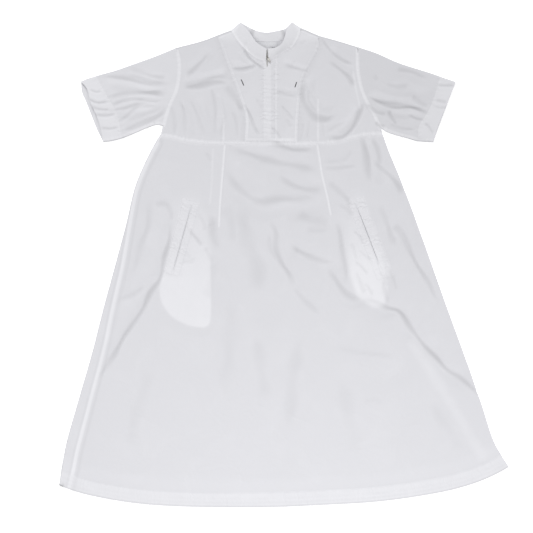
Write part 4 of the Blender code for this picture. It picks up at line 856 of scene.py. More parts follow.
def clothGrid(points, holes=None, closed=False, faceUp=True, plies=0.0, shade=0.0, puckered=True):
    # a grid moved to its rows of points on the outer face, with its layers for the material
    rows = points.shape[0] - 1
    columns = points.shape[1] - 1
    strength, run = puckerField(points[..., 0], points[..., 1])
    if not puckered:
        strength = strength * 0
    values = {
        "plies": np.broadcast_to(plies, points.shape[:2]),
        "shade": np.broadcast_to(shade, points.shape[:2]),
        "pucker": strength,
        "seamRun": run,
    }
    bm = bmesh.new()
    bmesh.ops.create_grid(bm, x_segments=columns, y_segments=rows, size=1.0)
    layers = {name: bm.verts.layers.float.new(name) for name in values}
    place = {}
    for vert in bm.verts:
        place[vert] = (round((vert.co.x + 1) / 2 * columns), round((vert.co.y + 1) / 2 * rows))
    if holes is not None:
        gone = [face for face in bm.faces
                if holes(min(place[v][0] for v in face.verts), min(place[v][1] for v in face.verts))]
        bmesh.ops.delete(bm, geom=gone, context="FACES")
    for vert in bm.verts:
        i, j = place[vert]
        vert.co = Vector(points[j, i]) * mm
        for name, layer in layers.items():
            vert[layer] = float(values[name][j, i])
    if closed:
        ends = [vert for vert in bm.verts if place[vert][0] in (0, columns)]
        bmesh.ops.remove_doubles(bm, verts=ends, dist=0.00001)
    if not faceUp:
        bmesh.ops.reverse_faces(bm, faces=bm.faces)
    return bm


def thicken(piece, wall):
    # gives the cloth its wall, and keeps the cut edges sharp so that seams stay light
    solidify = piece.modifiers.new("wall", "SOLIDIFY")
    solidify.thickness = wall * mm
    solidify.offset = -1.0
    solidify.use_even_offset = False
    solidify.use_rim = True
    depsgraph = bpy.context.evaluated_depsgraph_get()
    finished = bpy.data.meshes.new_from_object(piece.evaluated_get(depsgraph))
    finished.set_sharp_from_angle(angle=math.radians(52))
    piece.modifiers.clear()
    piece.data = finished


def turnPoints(start, outward, low, high, upward):
    # points round a turned edge for every row at once: start (n, 2), low and high (n,)
    radius = (high - low) / 2
    parts = []
    for step in range(1, cloth["rollSteps"]):
        angle = math.pi * step / cloth["rollSteps"]
        rise = -math.cos(angle) if upward else math.cos(angle)
        place = start + outward * (radius * math.sin(angle))[:, None]
        parts.append(np.column_stack([place, low + radius * (1 + rise)]))
    return np.stack(parts, axis=1)


def dressed(piece, node):
    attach(piece, "dress")
    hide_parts(node)
    return piece


# Materials

finish = {
    "thin": (0.66, 0.66, 0.69),         # one ply over the back
    "dense": (0.86, 0.86, 0.89),        # several plies
    "weavePitch": 0.00055,
    "creaseSize": 0.022,
    "crumple": 0.0011,
    "puckerPitch": 4.4,
    "puckerHeight": 0.0011,
    "creaseShade": 0.10,
    "edgeShade": 1.3,
    "cottonRoughness": 0.82,
    "labelColour": (0.72, 0.725, 0.755),
    "tapeColour": (0.78, 0.78, 0.80),
    "thread": ((0.64, 0.64, 0.67), (0.80, 0.80, 0.83)),     # low and high tone
    "tack": ((0.02, 0.02, 0.025), (0.08, 0.08, 0.09)),
    "tooth": ((0.56, 0.55, 0.52), (0.78, 0.77, 0.74)),
    "metal": ((0.30, 0.29, 0.28), (0.70, 0.68, 0.64)),
}


def newGroup(name, inputs, outputs):
    group = bpy.data.node_groups.new(name, "ShaderNodeTree")
    for label, kind, value in inputs:
        socket = group.interface.new_socket(label, in_out="INPUT", socket_type=kind)
        if value is not None:
            socket.default_value = value
    for label, kind in outputs:
        group.interface.new_socket(label, in_out="OUTPUT", socket_type=kind)
    return group, group.nodes.new("NodeGroupInput"), group.nodes.new("NodeGroupOutput")


def mathNode(tree, operation, *values):
    node = tree.nodes.new("ShaderNodeMath")
    node.operation = operation
    for socket, value in zip(node.inputs, values):
        if isinstance(value, (int, float)):
            socket.default_value = value
        else:
            tree.links.new(value, socket)
    return node.outputs[0]


def makeWeaveGroup():
    group, start, end = newGroup(
        "plainWeave",
        (("Vector", "NodeSocketVector", None), ("Pitch", "NodeSocketFloat", 0.0005)),
        (("Height", "NodeSocketFloat"),))
    parts = group.nodes.new("ShaderNodeSeparateXYZ")
    group.links.new(start.outputs["Vector"], parts.inputs[0])
    turns = mathNode(group, "DIVIDE", 2 * math.pi, start.outputs["Pitch"])
    across = mathNode(group, "SINE", mathNode(group, "MULTIPLY", parts.outputs["X"], turns))
    upward = mathNode(group, "SINE", mathNode(group, "MULTIPLY", parts.outputs["Y"], turns))
    height = mathNode(group, "MULTIPLY_ADD", mathNode(group, "MULTIPLY", across, upward), 0.5, 0.5)
    group.links.new(height, end.inputs["Height"])
    return group


def makeCreaseGroup():
    # fine uneven wrinkles that the cloth keeps after washing
    group, start, end = newGroup(
        "washedCreases",
        (("Vector", "NodeSocketVector", None), ("Size", "NodeSocketFloat", 0.02)),
        (("Height", "NodeSocketFloat"), ("Cloud", "NodeSocketFloat")))
    scale = mathNode(group, "DIVIDE", 1.0, start.outputs["Size"])
    noises = []
    for factor, detail, distortion in ((0.35, 3.0, 0.8), (1.0, 4.0, 0.5), (2.7, 2.0, 1.2)):
        node = group.nodes.new("ShaderNodeTexNoise")
        node.inputs["Detail"].default_value = detail
        node.inputs["Distortion"].default_value = distortion
        group.links.new(start.outputs["Vector"], node.inputs["Vector"])
        group.links.new(mathNode(group, "MULTIPLY", scale, factor), node.inputs["Scale"])
        noises.append(node.outputs["Fac"])
    total = 0.0
    for noise, share in zip(noises, (1.5, 0.55, 0.22)):
        folded = mathNode(group, "ABSOLUTE", mathNode(group, "SUBTRACT", noise, 0.5))
        part = mathNode(group, "MULTIPLY", folded, share)
        total = part if total == 0.0 else mathNode(group, "ADD", total, part)
    group.links.new(total, end.inputs["Height"])
    group.links.new(noises[0], end.inputs["Cloud"])
    return group


def makePuckerGroup():
    # short ripples across a seam, from the place along it
    group, start, end = newGroup(
        "seamPuckers",
        (("Vector", "NodeSocketVector", None), ("Run", "NodeSocketFloat", 0.0),
         ("Pitch", "NodeSocketFloat", 4.0)),
        (("Height", "NodeSocketFloat"),))
    drift = group.nodes.new("ShaderNodeTexNoise")
    drift.inputs["Scale"].default_value = 130.0
    drift.inputs["Detail"].default_value = 1.0
    group.links.new(start.outputs["Vector"], drift.inputs["Vector"])
    noise = group.nodes.new("ShaderNodeTexNoise")
    noise.noise_dimensions = "1D"
    noise.inputs["Scale"].default_value = 1.0
    noise.inputs["Detail"].default_value = 1.5
    place = mathNode(group, "DIVIDE", start.outputs["Run"], start.outputs["Pitch"])
    place = mathNode(group, "MULTIPLY_ADD", drift.outputs["Fac"], 3.2, place)
    group.links.new(place, noise.inputs["W"])
    group.links.new(noise.outputs["Fac"], end.inputs["Height"])
    return group


def makePlyGroup():
    # colour by the number of plies, with painted shade that darkens it down in a crease
    colour = "NodeSocketColor"
    number = "NodeSocketFloat"
    group, start, end = newGroup(
        "plyColourPaintedShade",
        (("Thin", colour, (0.7, 0.7, 0.72, 1)), ("Dense", colour, (0.86, 0.86, 0.88, 1)),
         ("Plies", number, 0.0), ("Shade", number, 0.0), ("Depth", number, 0.16),
         ("Cloud", number, 0.5)),
        (("Color", colour),))
    cloud = mathNode(group, "MULTIPLY", mathNode(group, "SUBTRACT", start.outputs["Cloud"], 0.5), 0.22)
    plies = mathNode(group, "ADD", start.outputs["Plies"], cloud)
    mix = group.nodes.new("ShaderNodeMix")
    mix.data_type = "RGBA"
    group.links.new(plies, mix.inputs["Factor"])
    group.links.new(start.outputs["Thin"], mix.inputs[6])
    group.links.new(start.outputs["Dense"], mix.inputs[7])
    dark = mathNode(group, "SUBTRACT", 1.0,
                    mathNode(group, "MULTIPLY", start.outputs["Shade"], start.outputs["Depth"]))
    tone = group.nodes.new("ShaderNodeCombineColor")
    for k in range(3):
        group.links.new(dark, tone.inputs[k])
    darken = group.nodes.new("ShaderNodeMix")
    darken.data_type = "RGBA"
    darken.blend_type = "MULTIPLY"
    darken.inputs["Factor"].default_value = 1.0
    group.links.new(mix.outputs[2], darken.inputs[6])
    group.links.new(tone.outputs[0], darken.inputs[7])
    group.links.new(darken.outputs[2], end.inputs["Color"])
    return group


weaveGroup = makeWeaveGroup()
creaseGroup = makeCreaseGroup()
puckerGroup = makePuckerGroup()
plyGroup = makePlyGroup()


def startMaterial(name):
    material = bpy.data.materials.new(name)
    material.use_nodes = True
    tree = material.node_tree
    shader = tree.nodes["Principled BSDF"]
    coordinates = tree.nodes.new("ShaderNodeTexCoord")
    return material, tree, shader, coordinates.outputs["Object"]


def placeGroup(tree, group, **values):
    node = tree.nodes.new("ShaderNodeGroup")
    node.node_tree = group
    for label, value in values.items():
        if isinstance(value, bpy.types.NodeSocket):
            tree.links.new(value, node.inputs[label])
        else:
            node.inputs[label].default_value = value
    return node


def addBump(tree, shader, layers):
    # layers of (height socket, distance in metres, strength), coarse to fine
    previous = None
    for height, distance, strength in layers:
        bump = tree.nodes.new("ShaderNodeBump")
        bump.inputs["Distance"].default_value = distance
        if isinstance(strength, float):
            bump.inputs["Strength"].default_value = strength
        else:
            tree.links.new(strength, bump.inputs["Strength"])
        tree.links.new(height, bump.inputs["Height"])
        if previous is not None:
            tree.links.new(previous.outputs["Normal"], bump.inputs["Normal"])
        previous = bump
    tree.links.new(previous.outputs["Normal"], shader.inputs["Normal"])


def attribute(tree, name):
    node = tree.nodes.new("ShaderNodeAttribute")
    node.attribute_name = name
    return node.outputs["Fac"]


def makeCotton():
    material, tree, shader, place = startMaterial("cotton")
    weave = placeGroup(tree, weaveGroup, Vector=place, Pitch=finish["weavePitch"])
    creases = placeGroup(tree, creaseGroup, Vector=place, Size=finish["creaseSize"])
    ripples = placeGroup(tree, puckerGroup, Vector=place, Run=attribute(tree, "seamRun"),
                         Pitch=finish["puckerPitch"])
    pucker = attribute(tree, "pucker")
    ripple = mathNode(tree, "MULTIPLY", mathNode(tree, "SUBTRACT", ripples.outputs["Height"], 0.5), pucker)
    # the puckers' crests are painted lighter and their troughs darker, as painted light and shade
    plies = mathNode(tree, "ADD", attribute(tree, "plies"), mathNode(tree, "MULTIPLY", ripple, 0.5))
    colour = placeGroup(
        tree, plyGroup, Thin=(*finish["thin"], 1), Dense=(*finish["dense"], 1),
        Plies=plies, Shade=attribute(tree, "shade"), Depth=finish["creaseShade"],
        Cloud=creases.outputs["Cloud"])
    tree.links.new(colour.outputs["Color"], shader.inputs["Base Color"])
    rough = mathNode(tree, "MULTIPLY_ADD", weave.outputs["Height"], 0.08, finish["cottonRoughness"])
    tree.links.new(rough, shader.inputs["Roughness"])
    shader.inputs["Sheen Weight"].default_value = 0.10
    shader.inputs["Sheen Roughness"].default_value = 0.5
    shader.inputs["Specular IOR Level"].default_value = 0.25
    addBump(tree, shader, ((creases.outputs["Height"], finish["crumple"], 0.6),
                           (ripple, finish["puckerHeight"], 1.0),
                           (weave.outputs["Height"], 0.00006, 0.6)))
    return material


def makeWoven(name, colour, pitch, roughness, depth):
    material, tree, shader, place = startMaterial(name)
    weave = placeGroup(tree, weaveGroup, Vector=place, Pitch=pitch)
    creases = placeGroup(tree, creaseGroup, Vector=place, Size=0.012)
    low = tuple(c * 0.86 for c in colour)
    tone = placeGroup(tree, plyGroup, Thin=(*low, 1), Dense=(*colour, 1), Shade=0.0,
                      Plies=weave.outputs["Height"], Depth=0.0, Cloud=creases.outputs["Cloud"])
    tree.links.new(tone.outputs["Color"], shader.inputs["Base Color"])
    rough = mathNode(tree, "MULTIPLY_ADD", weave.outputs["Height"], 0.1, roughness)
    tree.links.new(rough, shader.inputs["Roughness"])
    shader.inputs["Specular IOR Level"].default_value = 0.3
    addBump(tree, shader, ((creases.outputs["Height"], 0.0004, 0.5),
                           (weave.outputs["Height"], depth, 0.8)))
    return material


def makeMottled(name, tones, size, roughness, metallic, depth):
    # thread and metal: a tone broken up by fine noise
    material, tree, shader, place = startMaterial(name)
    noise = placeGroup(tree, creaseGroup, Vector=place, Size=size)
    low, high = tones
    tone = placeGroup(tree, plyGroup, Thin=(*low, 1), Dense=(*high, 1), Shade=0.0,
                      Plies=noise.outputs["Height"], Depth=0.0, Cloud=noise.outputs["Cloud"])
    tree.links.new(tone.outputs["Color"], shader.inputs["Base Color"])
    rough = mathNode(tree, "MULTIPLY_ADD", noise.outputs["Height"], 0.25, roughness)
    tree.links.new(rough, shader.inputs["Roughness"])
    shader.inputs["Metallic"].default_value = metallic
    addBump(tree, shader, ((noise.outputs["Height"], depth, 0.6),))
    return material


cotton = makeCotton()
tapeCloth = makeWoven("zipTape", finish["tapeColour"], 0.0011, 0.75, 0.00012)
labelCloth = makeWoven("labelCloth", finish["labelColour"], 0.0006, 0.6, 0.00006)
thread = makeMottled("whiteThread", finish["thread"], 0.0012, 0.5, 0.0, 0.00008)
tackThread = makeMottled("darkThread", finish["tack"], 0.0010, 0.55, 0.0, 0.0001)
toothPlastic = makeMottled("zipTeeth", finish["tooth"], 0.0020, 0.35, 0.0, 0.00003)
darkMetal = makeMottled("darkMetal", finish["metal"], 0.0025, 0.28, 1.0, 0.00004)
print("materials ready")


# Skirt

skirtMesh = {
    "rows": 140,
    "hemRows": 8,
    "frontColumns": 168,
    "backColumns": 60,
    "flapColumns": 12,
    "frontAbove": 2.6,      # what lies higher belongs to the front
    "fineReach": 8.0,       # faces are finer this near to seams and creases
    "slitReach": 0.7,       # vertices this near to a slit's line open with it
}


def skirtPlan():
    # shares of the length from hem to waist, with a close pair of rows at the hem's upper edge
    sideLength = lengthOf(smoothLine(outline["rightSide"]))
    depth = cloth["hemDepth"] / sideLength
    above = depth + 1.5 / sideLength
    hemRows = skirtMesh["hemRows"]
    steps = np.concatenate([
        np.linspace(0.0, depth, hemRows), [above],
        np.linspace(above, 1.0, skirtMesh["rows"] - hemRows)[1:]])

    def side(points):
        line = smoothLine(points[::-1])
        return atLengths(line, lengthOf(line) * steps)

    across = 60
    waist = atLengths(waistLine, np.linspace(0, lengthOf(waistLine), across + 1))
    plan = patch(spans(outline["hem"], across), waist, side(outline["leftSide"]),
                 side(outline["rightSide"]))
    return drawIn(plan, cloth["edgeRoll"]), steps


def alongRow(row, start, end, count):
    return atLengths(row, np.linspace(start, end, count + 1))


def walkedRows(rows):
    gaps = np.linalg.norm(np.diff(rows, axis=1), axis=2)
    return np.concatenate([np.zeros((len(rows), 1)), np.cumsum(gaps, axis=1)], axis=1)


def makeSkirt():
    plan, steps = skirtPlan()
    flapShares, flapWidths = zip(*cloth["sideFlap"])
    widths = np.interp(steps, flapShares, flapWidths)
    fronts, unders, flaps, flats = [], [], [], []
    for row, width in zip(plan, widths):
        total = lengthOf(row)
        fronts.append(alongRow(row, width, total, skirtMesh["frontColumns"]))
        unders.append(alongRow(row[::-1], 0.0, cloth["underFlap"], 4))
        flaps.append(alongRow(row, width, 0.0, skirtMesh["flapColumns"]))
        flats.append(alongRow(row, 0.0, total - cloth["underFlap"], skirtMesh["backColumns"]))
    front, under, flap, flat = (np.array(part) for part in (fronts, unders, flaps, flats))
    outRight = unit(plan[:, -1] - plan[:, -2])
    outLeft = unit(plan[:, 0] - plan[:, 1])
    ground = np.zeros(len(plan))

    # the front, with its right edge turned under
    for pocket in pockets.values():
        front = warpToSlit(front, pocket)
    form, creaseShade = skirtForm(front[..., 0], front[..., 1])
    height = cloth["frontLevel"] + form
    arc = turnPoints(front[:, -1], outRight, ground, height[:, -1], False)
    low = np.dstack([under, np.zeros(under.shape[:2])])
    points = np.concatenate([np.dstack([front, height]), arc, low], axis=1)
    columns = front.shape[1]
    plies = np.zeros(points.shape[:2])
    shade = np.zeros(points.shape[:2])
    seamBand = plyTone["side"] * ease((6.0 - walkedRows(front)) / 3)
    plies[:, :columns] = np.maximum(skirtPlies(front[..., 0], front[..., 1]), seamBand)
    plies[:, columns:] = plies[:, columns - 1:columns]
    shade[:, :columns] = creaseShade
    shade[:, columns:] = finish["edgeShade"]
    bm = clothGrid(points, plies=plies, shade=shade)
    refine(bm, front[::5, 0])
    openSlits(bm)
    piece = newObject("skirtFrontCloth", bm, cotton)
    thicken(piece, cloth["wall"])
    dressed(piece, "skirt_front")

    # the back, with its left edge turned over to the front
    form, flapShade = skirtForm(flap[..., 0], flap[..., 1])
    over = np.dstack([flap, cloth["frontLevel"] + form])
    arc = turnPoints(flap[:, -1], outLeft, ground, over[:, -1, 2], False)
    points = np.concatenate([over, arc, groundCreases(flat)], axis=1)
    columns = over.shape[1]
    edge = walkedRows(flap)
    plies = np.zeros(points.shape[:2])
    inHem = skirtPlies(flap[..., 0], flap[..., 1])
    plies[:, :columns] = np.maximum(inHem, plyTone["flap"] + plyTone["side"] * ease((4.5 - edge) / 2.5))
    plies[:, columns:] = skirtPlies(flat[:, :1, 0], flat[:, :1, 1])
    shade = np.zeros(points.shape[:2])
    shade[:, :columns] = flapShade + 0.5 * ridgeAt(edge - 7, 1.5, 4)
    shade[:, columns:columns + cloth["rollSteps"]] = finish["edgeShade"] + flapShade[:, -1:]
    bm = clothGrid(points, faceUp=False, plies=plies, shade=shade)
    piece = newObject("skirtBackCloth", bm, cotton)
    thicken(piece, cloth["wall"])
    dressed(piece, "skirt_back")


def groundCreases(flat):
    # the back lies on the surface: its creases lift it a little and never sink it
    x, y = flat[..., 0], flat[..., 1]
    lift = 0.5 * np.sin(x / 47 + 1.3 * np.sin(y / 90)) * np.sin(y / 120 + np.sin(x / 80)) - 0.12
    return np.dstack([flat, np.maximum(0.0, lift)])


def warpToSlit(front, pocket):
    # shift the grid sideways beside a slit, so that one column of vertices lies along it
    top, bottom = (np.array(end, float) for end in pocket["slit"])
    middle = (top + bottom) / 2
    row = int(np.argmin(np.abs(front[:, front.shape[1] // 2, 1] - middle[1])))
    column = int(np.argmin(np.abs(front[row, :, 0] - middle[0])))
    y = front[:, column, 1]
    slitX = bottom[0] + (y - bottom[1]) * (top[0] - bottom[0]) / (top[1] - bottom[1])
    near = ease((y - bottom[1] + 60) / 50) * ease((top[1] + 60 - y) / 50)
    shift = (slitX - front[:, column, 0]) * near
    distance = np.abs(front[:, :, 0] - front[:, column:column + 1, 0])
    moved = front.copy()
    moved[:, :, 0] += shift[:, None] * ease(1 - distance / 110)
    return moved


def refine(bm, seam):
    # finer faces beside seams, darts, bags, slits and creases, set on the surface again
    frontAbove = skirtMesh["frontAbove"] * mm
    faces = [face for face in bm.faces if face.calc_center_median().z > frontAbove]
    centres = np.array([face.calc_center_median()[:2] for face in faces]) / mm
    x, y = centres[:, 0], centres[:, 1]
    paths = [seamLines["dartLeft"], seamLines["dartRight"], waistLine, seam]
    paths += [np.vstack([pocket["bagLine"], pocket["bagLine"][:1]]) for pocket in pockets.values()]
    paths += [row[0] for row in foldTables["skirt"] if row[1] < -0.9]
    close = np.full(len(faces), 1e9)
    for path in paths:
        close = np.minimum(close, nearestOn(path, x, y)[0])
    picked = close < skirtMesh["fineReach"]
    for pocket in pockets.values():
        picked |= facingMask(pocket, x, y, 12.0) > 0.02
    edges = {edge for face, yes in zip(faces, picked) if yes for edge in face.edges}
    before = set(bm.verts)
    bmesh.ops.subdivide_edges(bm, edges=list(edges), cuts=1, use_grid_fill=True)
    fresh = [vert for vert in bm.verts if vert not in before and vert.co.z > frontAbove]
    x = np.array([vert.co.x for vert in fresh]) / mm
    y = np.array([vert.co.y for vert in fresh]) / mm
    form, shade = skirtForm(x, y)
    strength, run = puckerField(x, y)
    toSeam = nearestOn(seam, x, y)[0]
    plies = np.maximum(skirtPlies(x, y), plyTone["side"] * ease((6.0 - toSeam) / 3))
    shade = shade + 0.6 * ridgeAt(toSeam - 11, 2.5, 4)
    values = {"plies": plies, "shade": shade, "pucker": strength, "seamRun": run}
    for vert, z in zip(fresh, form + cloth["frontLevel"]):
        vert.co.z = z * mm
    for name, numbers in values.items():
        layer = bm.verts.layers.float[name]
        for vert, number in zip(fresh, numbers):
            vert[layer] = float(number)


def openSlits(bm):
    frontAbove = skirtMesh["frontAbove"]
    for pocket in pockets.values():
        verts = list(bm.verts)
        place = np.array([vert.co for vert in verts]) / mm
        across, up, length = slitPlace(pocket, place[:, 0], place[:, 1])
        onSlit = {vert for vert, a, u, z in zip(verts, across, up, place[:, 2])
                  if abs(a) < 0.6 and -1 < u < length + 1 and z > frontAbove}
        edges = [edge for edge in bm.edges if edge.verts[0] in onSlit and edge.verts[1] in onSlit]
        bmesh.ops.split_edges(bm, edges=edges)
        top, bottom = (Vector((*end, 0)) * mm for end in pocket["slit"])
        along = (top - bottom).normalized()
        side = Vector((along.y, -along.x, 0))
        for vert in bm.verts:
            if vert.co.z < frontAbove * mm or not vert.is_boundary:
                continue
            away = vert.co - bottom
            away.z = 0
            offLine = abs(away.dot(side)) > skirtMesh["slitReach"] * mm
            if offLine or not 0 < away.dot(along) < length * mm:
                continue
            centre = sum((face.calc_center_median() for face in vert.link_faces), Vector())
            centre /= len(vert.link_faces)
            centre.z = 0
            share = away.dot(along) / (length * mm)
            gap = pocket["slitHalf"] * mm * min(1.0, 6 * share, 0.25 + 2.2 * (1 - share))
            vert.co += side * math.copysign(gap, (centre - bottom).dot(side))


makeSkirt()
print("skirt ready")


# Bodice

bodiceMesh = {
    "height": 104,
    "waist": 76,
    "underarmRows": 10,
    "bibHeight": 160,
    "bibWidth": 72,
    "bibShoulder": 16,
    "mouthRows": 10,
    "backArmhole": 40,
    "backNeck": 40,
    "backShoulder": (24, 10),       # columns beside the bib's shoulder, and behind it
}


def makeFrontSide(side):
    name = side.capitalize()
    rows = bodiceMesh["height"]
    under = bodiceMesh["underarmRows"]
    armhole = joinLines(spans(outline["underarm" + name], under),
                        spans(outline["armhole" + name], rows - under))
    bibSide = spans(outline["bibEdge" + name], rows)
    waist = spans(outline["waist" + name], bodiceMesh["waist"])
    shoulder = smoothLine(outline["shoulder" + name])
    shoulder = atLengths(shoulder, lengthOf(shoulder) * shares(waist))
    edges = (armhole, bibSide) if side == "left" else (bibSide, armhole)
    plan = patch(waist, shoulder, *edges)
    reach = cloth["edgeRoll"] + cloth["seamTurn"]
    # the last rows move together, so that the shoulder edge stays even
    normals = leftNormals(plan[-1])
    for k in range(8):
        plan[-1 - k] -= normals * reach * ease(1 - k / 8)
    outer, inner = (0, 1) if side == "left" else (-1, -2)
    for j in range(under + 1):
        inward = unit(plan[j, inner] - plan[j, outer])
        shift = inward * reach * ease((under + 1 - j) / 2)
        for k in range(8):
            plan[j, k if side == "left" else -1 - k] += shift * ease(1 - k / 8)
    x, y = plan[..., 0], plan[..., 1]
    form, shade = frontForm(x, y)
    # painted shade on the cloth beside the bib's raised edge
    shade = shade + 0.35 * ease(1 - fromSeam("bibEdge" + name, x, y) / 16)
    bm = clothGrid(np.dstack([plan, form + cloth["frontLevel"]]), plies=bodicePlies(x, y), shade=shade)
    piece = newObject("sideFront" + name + "Cloth", bm, cotton)
    thicken(piece, cloth["wall"])
    dressed(piece, "side_front_" + side)


def makeBib(side):
    sign = -1 if side == "left" else 1
    name = side.capitalize()
    rows = bodiceMesh["bibHeight"]
    columns = bodiceMesh["bibWidth"]
    x = zipper["x"]
    mouth = np.array([
        (x, 280.0), (x, zipper["mouthStart"]),
        (x + sign * zipper["mouthHalf"], zipper["neckSeamY"])])
    mouthRows = bodiceMesh["mouthRows"]
    zipEdge = joinLines(spans(mouth[:2], rows - mouthRows), spans(mouth[1:], mouthRows))
    edge = spans(outline["bibEdge" + name], rows)
    ends = bodiceMesh["bibShoulder"]
    overShoulder = spans(outline["bibShoulder" + name], ends)
    alongNeck = spans(outline["neck" + name], columns - ends)
    if side == "left":
        waist = spans(outline["waistBib"][:2], columns)
        plan = patch(waist, joinLines(overShoulder, alongNeck), edge, zipEdge)
        shoulder = np.arange(0, ends + 1)
        neck = np.arange(ends + 1, columns + 1)
    else:
        waist = spans(outline["waistBib"][1:], columns)
        plan = patch(waist, joinLines(alongNeck, overShoulder), zipEdge, edge)
        shoulder = np.arange(columns - ends, columns + 1)
        neck = np.arange(0, columns - ends)
    normals = np.zeros((columns + 1, 2))
    normals[shoulder] = leftNormals(plan[-1][shoulder])
    normals[neck] = leftNormals(plan[-1][neck])
    reach = np.zeros(columns + 1)
    reach[shoulder] = cloth["edgeRoll"] + cloth["seamTurn"]
    for k in range(10):
        plan[-1 - k] -= normals * (reach * ease(1 - k / 10))[:, None]
    x, y = plan[..., 0], plan[..., 1]
    bm = clothGrid(np.dstack([plan, bibHeight(x, y)]), plies=bibPlies(x, y), shade=bibForm(x, y)[1])
    piece = newObject("bib" + name + "Cloth", bm, cotton)
    thicken(piece, cloth["doubleWall"])
    dressed(piece, "bib_" + side)


def makeBodiceBack():
    side = bodiceMesh["underarmRows"]
    left, right = (
        joinLines(spans(outline["underarm" + name], side),
                  spans(outline["armhole" + name], bodiceMesh["backArmhole"]))
        for name in ("Left", "Right"))
    outer, inner = bodiceMesh["backShoulder"]
    top = joinLines(*(spans(outline[key], count) for key, count in (
        ("shoulderLeft", outer), ("bibShoulderLeft", inner), ("neckBack", bodiceMesh["backNeck"]),
        ("bibShoulderRight", inner), ("shoulderRight", outer))))
    bottom = atLengths(waistLine, lengthOf(waistLine) * shares(top))
    plan = patch(bottom, top, left, right)
    last = plan.shape[1] - 1
    shoulderEnd = outer + inner
    neckEnd = shoulderEnd + bodiceMesh["backNeck"]
    roll = cloth["edgeRoll"]
    for j in range(side + 1):
        plan[j, 0] += unit(plan[j, 1] - plan[j, 0]) * roll
        plan[j, -1] += unit(plan[j, -2] - plan[j, -1]) * roll
    outward = np.vstack([
        leftNormals(top[:shoulderEnd + 1]), leftNormals(top[shoulderEnd:neckEnd + 1])[1:-1],
        leftNormals(top[neckEnd:])])
    inset = np.full(last + 1, roll)
    inset[shoulderEnd + 1:neckEnd] = 0.0
    plan[-1] -= outward * inset[:, None]

    def turnedUp(start, out):
        ends = [start - out * reach for reach in (0.0, cloth["seamTurn"])]
        level = [cloth["frontLevel"] + frontForm(end[:, 0], end[:, 1])[0] for end in ends]
        arc = turnPoints(start, out, np.zeros(len(start)), level[0], True)
        over = [np.column_stack([end, z]) for end, z in zip(ends, level)]
        return np.concatenate([arc, np.stack(over, axis=1)], axis=1)

    rows = groundCreases(plan)
    rows = np.concatenate([rows, turnedUp(plan[-1], outward).transpose(1, 0, 2)], axis=0)
    flat = plan[np.minimum(np.arange(len(rows)), len(plan) - 1)]
    west = turnedUp(flat[:, 0], unit(flat[:, 0] - flat[:, 1]))[:, ::-1]
    east = turnedUp(flat[:, -1], unit(flat[:, -1] - flat[:, -2]))
    points = np.concatenate([west, rows, east], axis=1)
    margin = west.shape[1]
    topRow = len(plan) - 1

    def noCloth(i, j):
        column = i - margin
        beside = column < 0 or column >= last
        inNeck = shoulderEnd <= column < neckEnd
        return (beside and j >= side) or (j >= topRow and inNeck)

    shade = np.zeros(points.shape[:2])
    shade[topRow + 1:-1] = finish["edgeShade"]
    bm = clothGrid(points, holes=noCloth, faceUp=False, plies=plyTone["back"], shade=shade)
    loose = [vert for vert in bm.verts if not vert.link_faces]
    bmesh.ops.delete(bm, geom=loose, context="VERTS")
    piece = newObject("bodiceBackCloth", bm, cotton)
    thicken(piece, cloth["wall"])
    dressed(piece, "bodice_back")


for side in ("left", "right"):
    makeFrontSide(side)
    makeBib(side)
makeBodiceBack()
print("bodice ready")


# Sleeves

sleeveMesh = {"around": 70, "length": 78, "hem": 14, "cuffOpening": 2.0}


def sleeveLayer(side, cuff):
    shape = sleeves[side]
    mirrored = side == "right"
    width = sleeveMesh["around"]
    hemSide = spans(shape["hemLine"], width)
    armhole = spans(outline["armholeRight" if mirrored else "armholeLeft"], width)[::-1]
    cuffEdge = spans(shape[cuff], width)
    body = [spans(shape[key], sleeveMesh["length"]) for key in ("top", "under")]
    hem = [spans(shape[key], sleeveMesh["hem"]) for key in ("topHem", "underHem")]
    if mirrored:
        rows = np.vstack([patch(armhole, hemSide, *body), patch(hemSide, cuffEdge, *hem)[1:]])
    else:
        rows = np.vstack([patch(cuffEdge, hemSide, *hem)[:-1], patch(hemSide, armhole, *body)])
    return drawIn(rows, cloth["edgeRoll"])


